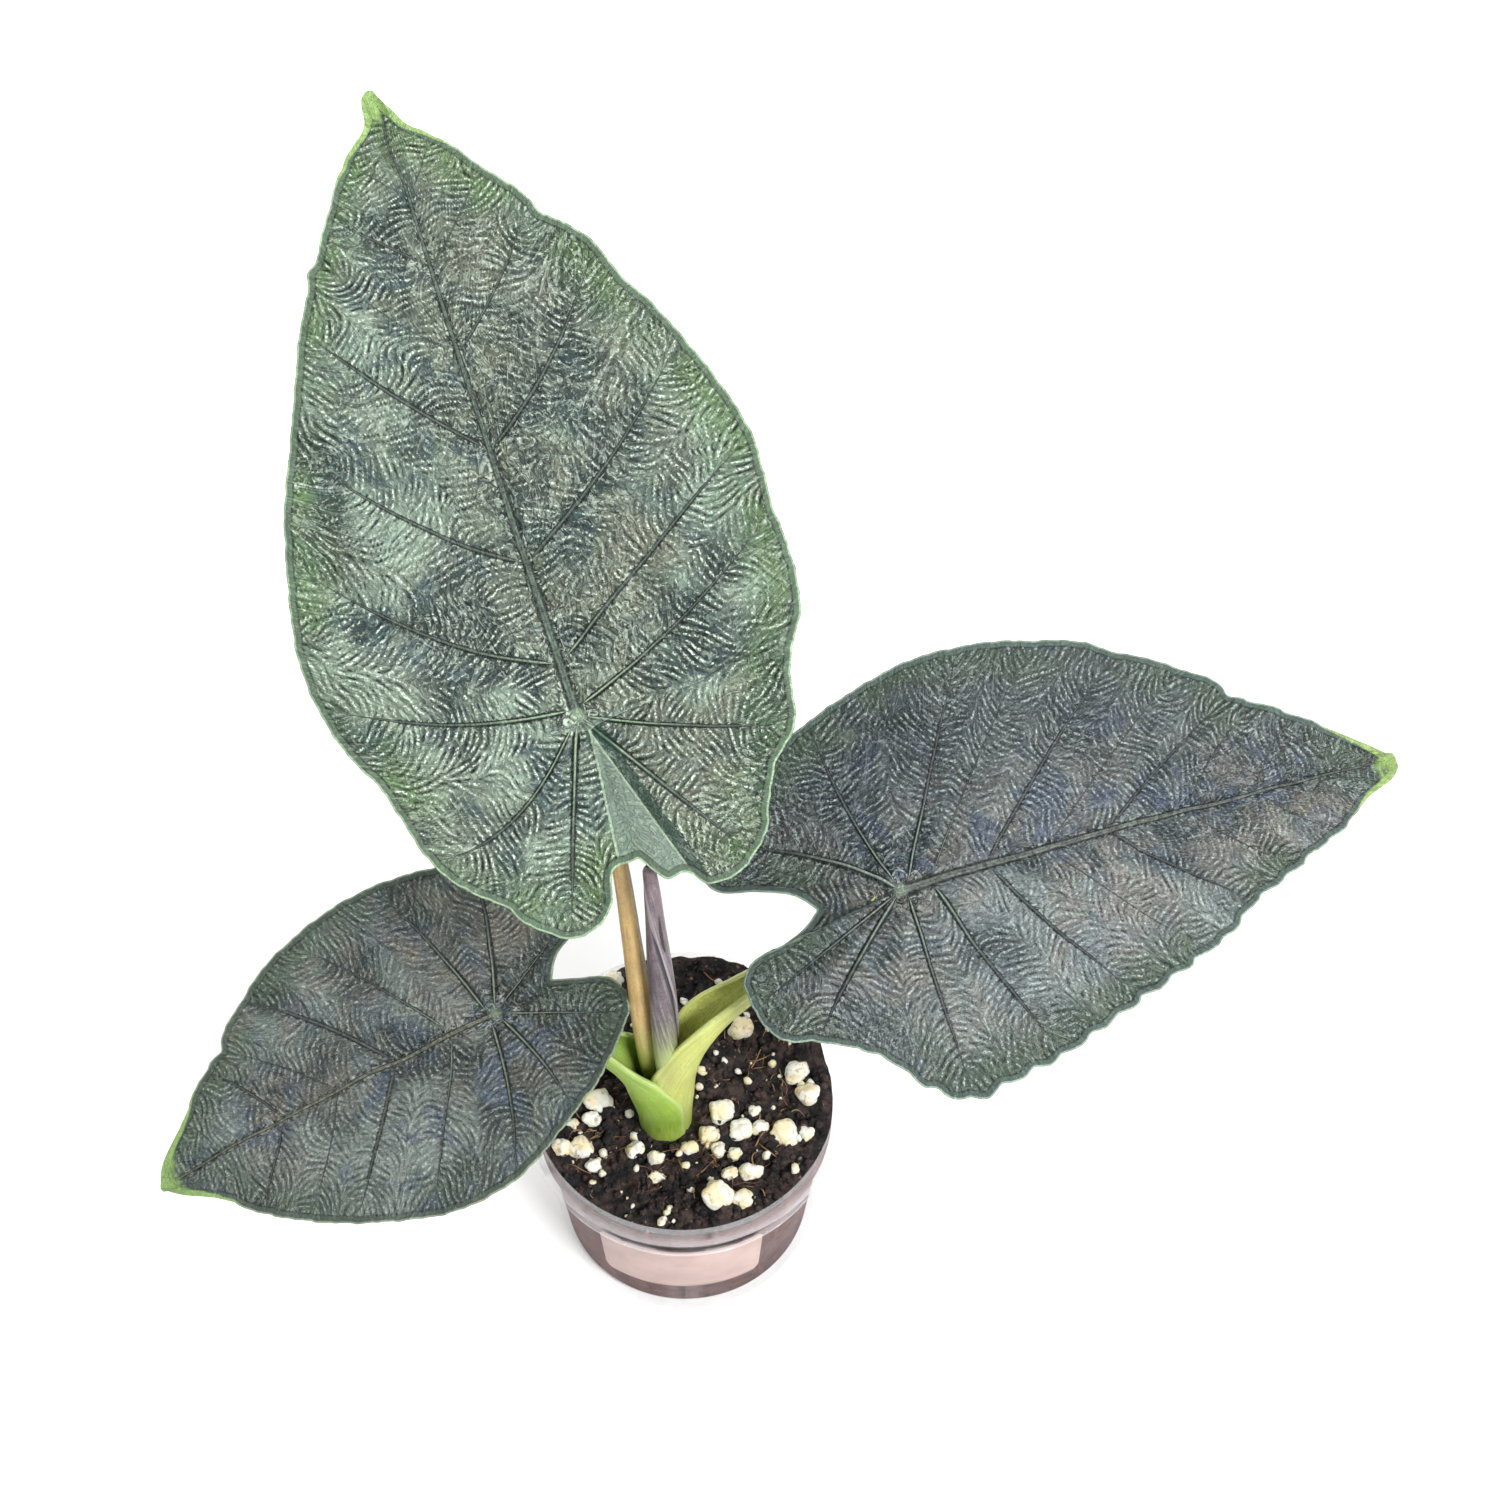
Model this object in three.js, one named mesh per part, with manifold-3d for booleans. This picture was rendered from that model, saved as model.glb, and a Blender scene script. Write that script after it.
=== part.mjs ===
// Potted velvet alocasia: three leaves and one rolled new leaf in a small clear nursery pot.
// Millimetres. The origin is the centre of the pot's underside. +Z is up, -Y faces the viewer, and +X is to
// the right.

import * as THREE from 'three';
import { mergeVertices } from 'three/addons/utils/BufferGeometryUtils.js';
import Module from 'manifold-3d';

const wasm = await Module();
wasm.setup();

// Pot
const POT_HEIGHT = 40;
const POT_RIM_RADIUS = 30;
const POT_BASE_RADIUS = 25;
const POT_WALL = 1;
const POT_FLOOR = 1.2;
const POT_SIDES = 56;
const LIP_DEPTH = 2.3;
const LIP_WIDTH = 2.2;
const COLLAR_RADIUS = 28.6;
const COLLAR_FOOT = 31.4;
const TAPER_TOP_RADIUS = 27.3;
const EDGE_ROUND = 0.5;
const DRAIN_HOLES = 5;
const DRAIN_RADIUS = 2.5;
const DRAIN_CIRCLE = 15;

// Label on the front of the pot
const LABEL_HALF_ANGLE = 33;
const LABEL_TOP = 29.8;
const LABEL_HEIGHT = 17.5;
const LABEL_THICKNESS = 0.3;
const LABEL_STEPS = 16;

// The clearance between two pieces that touch
const SEAT = 0.3;

// Potting mix
const SOIL_EDGE_LEVEL = 37.6;
const SOIL_HEAP = 5.4;
const SOIL_CLODS = 0.55;
const SOIL_SIDES = 36;
const SOIL_RINGS = 7;

// Foot of the plant
const FOOT = new THREE.Vector2(-3.1, -4.3);
const STEM_HOLE_RADIUS = 5.6;
const RHIZOME_TOP = 33.7;
const RHIZOME_LENGTH = 13;
const RHIZOME_RADIUS = 4.6;
const ROOTS = 6;
const ROOT_RADIUS = 0.9;
const ROOT_TIP_RADIUS = 0.55;

// Leaf blades
const BLADE_THICKNESS = 0.75;
const MIDRIB_KEEL = 0.9;
const MIDRIB_HALF_WIDTH = 1.7;
const MIDRIB_GROOVE = 0.5;
const GROOVE_HALF_WIDTH = 1.4;
const WEB_HALF_WIDTH = 2.6;
const LOBE_SAG = 0.004;
const SPOKE_BOW = 0.12;
const SPOKE_CROWDING = 0.92;
const ABOVE_BLADE = 2;

// Seeded draws, so that every build places the same grains
function seeded(seed) {
  let state = seed;
  return () => {
    state = (state + 0x6d2b79f5) | 0;
    let t = Math.imul(state ^ (state >>> 15), 1 | state);
    t = (t + Math.imul(t ^ (t >>> 7), 61 | t)) ^ t;
    return ((t ^ (t >>> 14)) >>> 0) / 4294967296;
  };
}

const vec = (a) => new THREE.Vector3(a[0], a[1], a[2]);
const mix = (a, b, t) => a + (b - a) * t;
const smooth = (lo, hi, x) => THREE.MathUtils.smoothstep(x, lo, hi);
const bell = (x, width) => Math.exp(-((x / width) ** 2));

// Points and triangles to one closed solid that faces out
function solid(points, triangles) {
  const position = new Float32Array(points.length * 3);
  points.forEach((p, i) => position.set([p.x, p.y, p.z], i * 3));
  let volume = 0;
  for (const [a, b, c] of triangles) {
    volume += points[a].dot(new THREE.Vector3().crossVectors(points[b], points[c]));
  }
  const order = volume > 0 ? triangles : triangles.map(([a, b, c]) => [a, c, b]);
  const mesh = new wasm.Mesh({
    numProp: 3,
    vertProperties: position,
    triVerts: new Uint32Array(order.flat()),
  });
  return new wasm.Manifold(mesh);
}

function solidOf(geometry) {
  const plain = geometry.clone();
  plain.deleteAttribute('normal');
  plain.deleteAttribute('uv');
  const merged = mergeVertices(plain, 1e-4);
  const mesh = new wasm.Mesh({
    numProp: 3,
    vertProperties: merged.attributes.position.array,
    triVerts: new Uint32Array(merged.index.array),
  });
  return new wasm.Manifold(mesh);
}

function geometryOf(body) {
  const mesh = body.getMesh();
  const geometry = new THREE.BufferGeometry();
  const position = new Float32Array(mesh.numVert * 3);
  for (let i = 0; i < mesh.numVert; i++) {
    for (let k = 0; k < 3; k++) position[i * 3 + k] = mesh.vertProperties[i * mesh.numProp + k];
  }
  geometry.setAttribute('position', new THREE.BufferAttribute(position, 3));
  geometry.setIndex(new THREE.BufferAttribute(new Uint32Array(mesh.triVerts), 1));
  geometry.computeVertexNormals();
  return geometry;
}

// The largest connected body of a cut piece
function largest(body) {
  const pieces = body.decompose();
  pieces.sort((a, b) => b.volume() - a.volume());
  return pieces[0];
}

const plant = new THREE.Group();
plant.name = 'potted_velvet_alocasia';

function addNode(name, body, colour, roughness, metalness = 0, opacity = 1) {
  const material = new THREE.MeshStandardMaterial({
    color: colour,
    roughness,
    metalness,
    opacity,
    transparent: opacity < 1,
  });
  const mesh = new THREE.Mesh(geometryOf(body), material);
  mesh.name = name;
  plant.add(mesh);
}

// A lathed ring or solid from a closed profile of [radius, height]
function lathe(profile, sides) {
  const points = [...profile, profile[0]].map(([r, z]) => new THREE.Vector2(r, z));
  const geometry = new THREE.LatheGeometry(points, sides);
  geometry.rotateX(Math.PI / 2);
  return solidOf(geometry);
}

function cylinder(radius, low, high, x, y, sides) {
  const geometry = new THREE.CylinderGeometry(radius, radius, high - low, sides);
  geometry.rotateX(Math.PI / 2);
  geometry.translate(x, y, (low + high) / 2);
  return solidOf(geometry);
}

// The radius of the pot's tapered outer wall at a height
function taperRadius(z) {
  return mix(POT_BASE_RADIUS, TAPER_TOP_RADIUS, z / (COLLAR_FOOT - EDGE_ROUND * 2));
}

// The clear cup: rounded foot, tapered wall, stacking ridge, collar and outward lip
function pot() {
  const lipFoot = POT_HEIGHT - LIP_DEPTH;
  const ridgeFoot = COLLAR_FOOT - EDGE_ROUND * 2;
  const mouth = POT_RIM_RADIUS - LIP_WIDTH;
  const profile = [
    [0, 0],
    [POT_BASE_RADIUS - EDGE_ROUND, 0],
    [POT_BASE_RADIUS, EDGE_ROUND],
    [TAPER_TOP_RADIUS, ridgeFoot],
    [COLLAR_RADIUS, ridgeFoot + EDGE_ROUND],
    [COLLAR_RADIUS, lipFoot],
    [POT_RIM_RADIUS - EDGE_ROUND, lipFoot],
    [POT_RIM_RADIUS, lipFoot + EDGE_ROUND],
    [POT_RIM_RADIUS, POT_HEIGHT - EDGE_ROUND],
    [POT_RIM_RADIUS - EDGE_ROUND, POT_HEIGHT],
    [mouth, POT_HEIGHT],
    [COLLAR_RADIUS - POT_WALL, COLLAR_FOOT + EDGE_ROUND],
    [TAPER_TOP_RADIUS - POT_WALL, ridgeFoot],
    [POT_BASE_RADIUS - POT_WALL, POT_FLOOR],
    [0, POT_FLOOR],
  ];
  let cup = lathe(profile, POT_SIDES);
  for (let i = 0; i < DRAIN_HOLES; i++) {
    const angle = (i / DRAIN_HOLES) * 2 * Math.PI + Math.PI / 2;
    const x = DRAIN_CIRCLE * Math.cos(angle);
    const y = DRAIN_CIRCLE * Math.sin(angle);
    cup = cup.subtract(cylinder(DRAIN_RADIUS, -1, POT_FLOOR + 1, x, y, 12));
  }
  return cup;
}

// A curved patch that follows the taper just clear of the wall
function label() {
  const points = [];
  const triangles = [];
  for (let i = 0; i <= LABEL_STEPS; i++) {
    const turn = mix(-LABEL_HALF_ANGLE, LABEL_HALF_ANGLE, i / LABEL_STEPS);
    const angle = THREE.MathUtils.degToRad(turn - 90);
    for (const z of [LABEL_TOP - LABEL_HEIGHT, LABEL_TOP]) {
      for (const out of [SEAT, SEAT + LABEL_THICKNESS]) {
        const r = taperRadius(z) + out;
        points.push(new THREE.Vector3(r * Math.cos(angle), r * Math.sin(angle), z));
      }
    }
  }
  const corner = [0, 2, 3, 1];
  for (let i = 0; i < LABEL_STEPS; i++) {
    for (let k = 0; k < 4; k++) {
      const a = i * 4 + corner[k];
      const b = i * 4 + corner[(k + 1) % 4];
      triangles.push([a, b, b + 4], [a, b + 4, a + 4]);
    }
  }
  const last = LABEL_STEPS * 4;
  triangles.push([0, 1, 3], [0, 3, 2], [last, last + 2, last + 3], [last, last + 3, last + 1]);
  return solid(points, triangles);
}

// A round stalk through stations of [x, y, z, radius]. A wrapped one has a section that winds in by step, so
// that its free edge stands out, and that edge turns round the stalk from foot to tip.
function stalk(stations, steps, sides, grow = 0, wrap = { step: 0, start: 0, turn: 0 }) {
  const centres = new THREE.CatmullRomCurve3(stations.map(vec), false, 'centripetal');
  const points = [];
  const triangles = [];
  for (let i = 0; i <= steps; i++) {
    const t = i / steps;
    const centre = centres.getPoint(t);
    const along = centres.getTangent(t);
    const across = new THREE.Vector3(1, 0, 0).addScaledVector(along, -along.x).normalize();
    const up = new THREE.Vector3().crossVectors(along, across);
    const at = t * (stations.length - 1);
    const lower = Math.min(Math.floor(at), stations.length - 2);
    const radius = mix(stations[lower][3], stations[lower + 1][3], at - lower) + grow;
    const end = i === 0 ? -grow : i === steps ? grow : 0;
    for (let k = 0; k < sides; k++) {
      const a = wrap.start + wrap.turn * t + (k / sides) * 2 * Math.PI;
      const wound = radius - (wrap.step * radius * k) / sides;
      const p = centre.clone().addScaledVector(along, end);
      p.addScaledVector(across, wound * Math.cos(a)).addScaledVector(up, wound * Math.sin(a));
      points.push(p);
    }
  }
  for (let i = 0; i < steps; i++) {
    for (let k = 0; k < sides; k++) {
      const a = i * sides + k;
      const b = i * sides + ((k + 1) % sides);
      triangles.push([a, b, b + sides], [a, b + sides, a + sides]);
    }
  }
  for (let k = 1; k < sides - 1; k++) {
    triangles.push([0, k + 1, k]);
    triangles.push([steps * sides, steps * sides + k, steps * sides + k + 1]);
  }
  return solid(points, triangles);
}

// A leaf stalk whose foot is an open sheath. Each station has its centre p, outer radius r, the radius of its
// channel, the channel's shift towards its mouth, the mouth's half angle in degrees, and the way it faces.
function sheath(stations, steps, sides) {
  const centres = new THREE.CatmullRomCurve3(stations.map((s) => vec(s.p)), false, 'centripetal');
  const points = [];
  const triangles = [];
  const row = 2 * (sides + 1);
  for (let i = 0; i <= steps; i++) {
    const t = i / steps;
    const at = t * (stations.length - 1);
    const lower = Math.min(Math.floor(at), stations.length - 2);
    const [s0, s1, f] = [stations[lower], stations[lower + 1], at - lower];
    const centre = centres.getPoint(t);
    const along = centres.getTangent(t);
    const mouth = vec(s0.faces).lerp(vec(s1.faces), f);
    mouth.addScaledVector(along, -mouth.dot(along)).normalize();
    const side = new THREE.Vector3().crossVectors(along, mouth);
    const outer = mix(s0.r, s1.r, f);
    const inner = mix(s0.channel, s1.channel, f);
    const gap = THREE.MathUtils.degToRad(mix(s0.mouth, s1.mouth, f));
    const shift = mix(s0.shift, s1.shift, f);
    for (const [radius, offset] of [[outer, 0], [inner, shift]]) {
      for (let k = 0; k <= sides; k++) {
        const a = mix(gap, 2 * Math.PI - gap, k / sides);
        const p = centre.clone().addScaledVector(mouth, offset + radius * Math.cos(a));
        points.push(p.addScaledVector(side, radius * Math.sin(a)));
      }
    }
  }
  const ring = [];
  for (let k = 0; k <= sides; k++) ring.push(k);
  for (let k = sides; k >= 0; k--) ring.push(sides + 1 + k);
  for (let i = 0; i < steps; i++) {
    for (let k = 0; k < ring.length; k++) {
      const a = i * row + ring[k];
      const b = i * row + ring[(k + 1) % ring.length];
      triangles.push([a, b, b + row], [a, b + row, a + row]);
    }
  }
  const last = steps * row;
  for (let k = 0; k < sides; k++) {
    const [a, b, c, d] = [k, k + 1, k + sides + 2, k + sides + 1];
    triangles.push([a, c, b], [a, d, c]);
    triangles.push([last + a, last + b, last + c], [last + a, last + c, last + d]);
  }
  return solid(points, triangles);
}

// The filled envelope of a sheath, to cut the seat for it out of its neighbours
function sheathCore(stations, steps, sides, grow) {
  return stalk(stations.map((s) => [...s.p, s.r]), steps, sides, grow);
}

// Leaf frames: where the stalk meets the blade, the way to the tip, and the way the upper face looks
const LEAF_LARGE = { at: [-16.3, 17.9, 128.3], toTip: [-0.33, 0.81, 0.49], faces: [-0.03, -0.53, 0.85] };
const LEAF_RIGHT = { at: [37, 11.6, 90], toTip: [0.94, 0.34, -0.03], faces: [0.16, -0.36, 0.92] };
const LEAF_LEFT = { at: [-32.3, -2, 70], toTip: [-0.87, -0.34, -0.35], faces: [-0.22, -0.36, 0.9] };

function leafBasis(leaf) {
  const face = vec(leaf.faces).normalize();
  const tip = vec(leaf.toTip);
  tip.addScaledVector(face, -tip.dot(face)).normalize();
  const right = new THREE.Vector3().crossVectors(tip, face);
  return new THREE.Matrix4().makeBasis(right, tip, face).setPosition(vec(leaf.at));
}

// Half margins, from the tip down to the cleft between the basal lobes, in the blade's own plane.
// A point with a third number is the end of a side vein, and that number is the vein's root on the midrib.
const LARGE_RIGHT = [
  [0, 108.5, 108.5], [2.2, 102.5], [7, 96.8, 88], [12.5, 88.5, 75], [18, 79.8, 60], [19.6, 76.6],
  [23.4, 74.6], [25.6, 69.5, 44], [28.5, 63], [32.4, 56.5], [34.6, 51, 25], [37.6, 42], [39.8, 33, 8.5],
  [40, 26], [39, 20.6], [39.7, 14.5, 1], [38.6, 5], [34.4, -2], [33, -7.5], [32.6, -12, 0], [27.6, -16.6],
  [24.8, -21.5], [22.8, -26], [19.5, -29.3, 0], [15, -31.3], [11, -30.8], [8.2, -28.8], [5.2, -28],
  [1.6, -23.8, 0],
];
const LARGE_LEFT = [
  [0, 108.5, 108.5], [-2, 103.6], [-7.3, 97, 88], [-13.3, 88, 75], [-17, 80.8, 60], [-19, 77],
  [-22, 71, 44], [-26, 60.5], [-29.7, 53.5, 25], [-33, 43.5], [-35, 36.5, 8.5], [-37.6, 27], [-38.3, 20],
  [-38, 13.5, 1], [-35.6, 5.5], [-32, -1.5], [-30.4, -8.5], [-29, -14.5, 0], [-26, -20], [-20.5, -25],
  [-18.4, -28.4], [-12.5, -32.4, 0], [-8.5, -32], [-4.6, -29.6], [-2.6, -24.6], [1.6, -23.8, 0],
];
const RIGHT_RIGHT = [
  [0, 96, 96], [3.4, 93], [5.2, 86.5, 80], [10.5, 78.5, 66], [12.6, 73], [14.5, 68.5, 52], [19, 58.5, 37],
  [23.4, 52], [24.8, 46.5, 26], [28.8, 33.5, 15], [31, 26.5], [33.7, 17.5, 5], [36.4, 9], [37.2, 1, 1],
  [35.6, -3.4], [31.8, -6.6], [27.6, -9.2], [24.6, -13], [20.5, -20.5, 0], [19, -25], [16.6, -27.4],
  [12, -28.6, 0], [7.4, -29], [4.6, -26.4], [3, -21], [1, -16.4], [-1, -14, 0],
];
const RIGHT_LEFT = [
  [0, 96, 96], [-2.8, 91.5], [-7, 84.5, 80], [-12, 77.5, 66], [-15.3, 70.5, 52], [-17.2, 66.4],
  [-19.6, 64.6, 37], [-24, 58.5, 26], [-29.4, 48.5, 15], [-33.2, 42.6], [-35.6, 34.5, 5], [-37.8, 22],
  [-37.4, 13, 1], [-35, 3], [-31.6, -6.5, 0], [-28.4, -15], [-23.6, -24], [-18, -29.6, 0],
  [-12.6, -31.4], [-9, -28.6], [-7, -23], [-4.2, -17], [-1, -14, 0],
];
const LEFT_RIGHT = [
  [0, 67, 67], [3, 64.6], [8, 58, 54], [14, 50.5, 41], [16, 46.4, 30], [18, 45.4], [22, 39.2, 19],
  [27.5, 28, 8], [29.7, 19], [30.3, 11, 1], [29, 1], [27, -7, 0], [22.6, -14], [17, -19], [12, -20.4, 0],
  [8, -18], [4.6, -13.4], [1.4, -11, 0],
];
const LEFT_LEFT = [
  [0, 67, 67], [-3, 63], [-7.5, 56, 54], [-12.6, 50.4, 41], [-19, 42, 30], [-22.8, 35, 19],
  [-27.6, 22.8, 8], [-29, 15], [-28.2, 7, 1], [-25.8, 0.5], [-22, -6, 0], [-18.6, -12], [-14, -17],
  [-9.6, -20.6, 0], [-6, -21.6], [-3, -19.4], [-0.4, -14.4], [1.4, -11, 0],
];

// Shapes of the three blades. The midrib rises and falls by arch over its length, the two halves fold up
// along it and droop to the margin, the margin waves between the side veins, and the blade swells between
// them. The tip leans aside by hook, and web is the depth of the valley where the basal lobes are joined.
const LARGE_SHAPE = {
  right: LARGE_RIGHT,
  left: LARGE_LEFT,
  length: 105,
  hook: -1.5,
  arch: 0.22,
  fold: 0.16,
  droop: 0.0034,
  web: 2.4,
  swell: 1,
  wave: 0.9,
  frill: 0,
  perVein: 4,
  rings: 10,
};
const RIGHT_SHAPE = {
  right: RIGHT_RIGHT,
  left: RIGHT_LEFT,
  length: 95,
  hook: 0,
  arch: 0.2,
  fold: 0.16,
  droop: 0.0036,
  web: 0,
  swell: 0.9,
  wave: 0.8,
  frill: 0.8,
  perVein: 5,
  rings: 8,
};
const LEFT_SHAPE = {
  right: LEFT_RIGHT,
  left: LEFT_LEFT,
  length: 70,
  hook: 0,
  arch: 0.18,
  fold: 0.14,
  droop: 0.0036,
  web: 0,
  swell: 0.8,
  wave: 0.7,
  frill: 0,
  perVein: 4,
  rings: 8,
};

// The spokes of one half. Each has its root on the midrib, its end on the margin, and its place from one vein
// to the next. Every second spoke of a frilled half ends short, as a scallop.
function halfSpokes(half, shape, frilled) {
  const margin = half.map(([x, y]) => new THREE.Vector3(x, y, 0));
  const curve = new THREE.CatmullRomCurve3(margin, false, 'centripetal');
  const veins = half.map((p, i) => (p.length === 3 ? i : -1)).filter((i) => i >= 0);
  const spokes = [];
  for (let v = 0; v < veins.length - 1; v++) {
    const [i0, i1] = [veins[v], veins[v + 1]];
    for (let k = 0; k < shape.perVein; k++) {
      const place = k / shape.perVein;
      const end = curve.getPoint(mix(i0, i1, place) / (half.length - 1));
      const notch = frilled ? shape.frill * (k % 2) * smooth(0, 2, v) : 0;
      end.multiplyScalar(1 - notch / end.length());
      spokes.push({ root: mix(half[i0][2], half[i1][2], place), end, place });
    }
  }
  return spokes;
}

// Height of the smooth blade over its own plane
function bladeForm(x, y, shape) {
  const long = y > 0 ? shape.arch * y * (1 - y / shape.length) : shape.arch * y - LOBE_SAG * y * y;
  const cross = shape.fold * Math.abs(x) - shape.droop * x * x;
  const web = shape.web * bell(x - 1.5 + 0.1 * y, WEB_HALF_WIDTH) * smooth(3, 16, -y);
  return long + cross - web;
}

// Swelling between the veins, waves along the margin and the groove over the midrib
function bladeRelief(x, t, place, shape, size) {
  const between = Math.sin(Math.PI * place) ** 2;
  const body = Math.sin(Math.PI * Math.min(1, t * 1.08)) ** 0.8;
  const edge = smooth(0.6, 1, t) * (0.5 - between);
  const groove = MIDRIB_GROOVE * bell(x, GROOVE_HALF_WIDTH);
  return size * (shape.swell * (between - 0.35) * body - shape.wave * edge) - groove;
}

// A blade between its upper and lower face. The seat that a stalk keeps clear of has more above and below.
function blade(leaf, shape, above = 0, below = 0) {
  const basis = leafBasis(leaf);
  const points = [];
  const top = [];
  const found = new Map();
  const vertex = (x, y, z, thickness) => {
    const key = x.toFixed(3) + ' ' + y.toFixed(3);
    if (!found.has(key)) {
      found.set(key, points.length);
      const aside = x + shape.hook * smooth(0.85 * shape.length, shape.length, y);
      points.push(new THREE.Vector3(aside, y, z + above).applyMatrix4(basis));
      points.push(new THREE.Vector3(aside, y, z - thickness - below).applyMatrix4(basis));
    }
    return found.get(key);
  };
  const tip = shape.right[0];
  const cleft = shape.right[shape.right.length - 1];
  const last = { root: 0, end: new THREE.Vector3(cleft[0], cleft[1], 0), place: 0 };
  const columns = [];
  for (const half of [shape.right, shape.left]) {
    const spokes = [...halfSpokes(half, shape, half === shape.right), last];
    columns.push(spokes.map((spoke) => {
      const reach = Math.hypot(spoke.end.x, spoke.end.y - spoke.root);
      const bow = SPOKE_BOW * reach * smooth(0, 6, spoke.root);
      const size = smooth(2, 16, reach);
      const column = [];
      for (let k = 0; k <= shape.rings; k++) {
        const t = (k / shape.rings) ** SPOKE_CROWDING;
        const x = spoke.end.x * t;
        const y = mix(spoke.root, spoke.end.y, t) - bow * 2 * t * (1 - t);
        const z = bladeForm(x, y, shape) + bladeRelief(x, t, spoke.place, shape, size);
        const taper = smooth(tip[1], tip[1] * 0.5, y) * smooth(cleft[1], 0, y);
        const keel = MIDRIB_KEEL * bell(x, MIDRIB_HALF_WIDTH) * taper;
        column.push(vertex(x, y, z, BLADE_THICKNESS + keel));
      }
      return column;
    }));
  }
  const triangles = [];
  const facet = (a, b, c) => {
    if (a !== b && b !== c && a !== c) top.push([a, b, c]);
  };
  const rim = [];
  columns.forEach((half, side) => {
    for (let j = 0; j < half.length - 1; j++) {
      for (let k = 0; k < shape.rings; k++) {
        const [a, b, c, d] = [half[j][k], half[j][k + 1], half[j + 1][k + 1], half[j + 1][k]];
        if (side === 0) {
          facet(a, c, b);
          facet(a, d, c);
        } else {
          facet(a, b, c);
          facet(a, c, d);
        }
      }
      const ends = [half[j][shape.rings], half[j + 1][shape.rings]];
      rim.push(side === 0 ? ends : ends.reverse());
    }
  });
  for (const [a, b, c] of top) triangles.push([a, b, c], [a + 1, c + 1, b + 1]);
  for (const [a, b] of rim) triangles.push([a, b, b + 1], [a, b + 1, a + 1]);
  return solid(points, triangles);
}

// Stalk of the large leaf, and the new leaf rolled up beside it
const LARGE_STALK = [
  [-3.8, -3.5, 33, 1.3], [-4.1, -3.3, 41, 1.4], [-4.9, -3.2, 49, 1.7], [-5.9, -2.9, 57, 1.95],
  [-6.8, -0.8, 65, 2], [-7.5, 1.6, 73, 1.95], [-8.6, 5.2, 83, 1.7], [-10.2, 10.4, 96, 1.45],
  [-12.6, 14.4, 110, 1.35], [-15.4, 17, 124, 1.4], [-16.8, 18, 131, 1.5],
];
const NEW_LEAF = [
  [-1.7, -5.3, 41, 1.05], [-1.9, -5.8, 47, 1.5], [-2.1, -6.3, 53, 1.9], [-2.5, -5.6, 60, 2.3],
  [-2.9, -3.6, 67, 2.5], [-3.3, -1, 74, 2.55], [-3.9, 1.6, 82, 2.3], [-4.4, 3.8, 90, 1.85],
  [-4.8, 5.2, 97.8, 1.3], [-5.2, 6, 104, 0.5],
];

// Stalk of the right leaf: its sheath wraps the large stalk and the new leaf, and its channel opens up and
// to the left
const RIGHT_STALK = [
  { p: [-2.6, -4.3, 33], r: 4, channel: 3.1, shift: 0, mouth: 25, faces: [-1, 0.1, 0] },
  { p: [-2.6, -4.3, 41], r: 4.2, channel: 3.3, shift: 0, mouth: 32, faces: [-1, 0.1, 0] },
  { p: [-2.7, -4.5, 49], r: 4.8, channel: 3.8, shift: -0.1, mouth: 45, faces: [-1, 0.2, 0] },
  { p: [-2.3, -4.2, 56], r: 4.9, channel: 3.9, shift: 0, mouth: 62, faces: [-1, 0.3, 0.3] },
  { p: [0, -2.6, 62.4], r: 4.5, channel: 3.5, shift: 0.2, mouth: 68, faces: [-0.9, 0.2, 0.7] },
  { p: [4.2, 0, 67], r: 3.9, channel: 2.9, shift: 0.6, mouth: 62, faces: [-0.5, -0.1, 1] },
  { p: [10, 2.4, 71], r: 3, channel: 2, shift: 0.8, mouth: 54, faces: [-0.3, -0.3, 1] },
  { p: [18, 5.2, 76.4], r: 2.2, channel: 1, shift: 0.9, mouth: 40, faces: [-0.3, -0.3, 1] },
  { p: [27, 8.4, 82.6], r: 1.7, channel: 0.5, shift: 0.9, mouth: 30, faces: [-0.3, -0.3, 1] },
  { p: [37.6, 11.8, 91], r: 1.5, channel: 0.4, shift: 0.8, mouth: 30, faces: [-0.3, -0.3, 1] },
];

// Stalk of the left leaf: the outermost sheath, open to the right, that swings out low over the soil
const LEFT_STALK = [
  { p: [-3.2, -4.3, 33], r: 4.9, channel: 4.1, shift: 0.4, mouth: 48, faces: [1, 0.1, 0] },
  { p: [-3.3, -4.3, 41], r: 5.1, channel: 4.3, shift: 0.4, mouth: 52, faces: [1, 0.1, 0] },
  { p: [-3.8, -4.5, 49], r: 5.8, channel: 4.9, shift: 0.4, mouth: 60, faces: [1, 0.2, 0.1] },
  { p: [-5.4, -4.3, 54.6], r: 5.6, channel: 4.6, shift: 0.3, mouth: 72, faces: [1, 0.2, 0.5] },
  { p: [-8.8, -3.6, 58], r: 4.4, channel: 3.4, shift: 0.3, mouth: 74, faces: [0.6, 0, 1] },
  { p: [-13.4, -2.8, 60.4], r: 3.2, channel: 2.1, shift: 0.5, mouth: 58, faces: [0.3, -0.1, 1] },
  { p: [-19.6, -2.4, 63.6], r: 2.2, channel: 1, shift: 0.8, mouth: 40, faces: [0.3, -0.1, 1] },
  { p: [-26, -2.2, 67], r: 1.7, channel: 0.5, shift: 0.9, mouth: 30, faces: [0.3, -0.1, 1] },
  { p: [-33, -2, 71], r: 1.5, channel: 0.4, shift: 0.8, mouth: 30, faces: [0.3, -0.1, 1] },
];

const STALK_STEPS = 18;
const STALK_SIDES = 10;
const SHEATH_STEPS = 14;
const SHEATH_SIDES = 8;
const NEW_LEAF_STEPS = 14;
const NEW_LEAF_SIDES = 12;

// The rolled new leaf has one free edge that winds up it as a low step
const WRAP = { step: 0.16, start: 4.4, turn: -1.3 };

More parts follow.
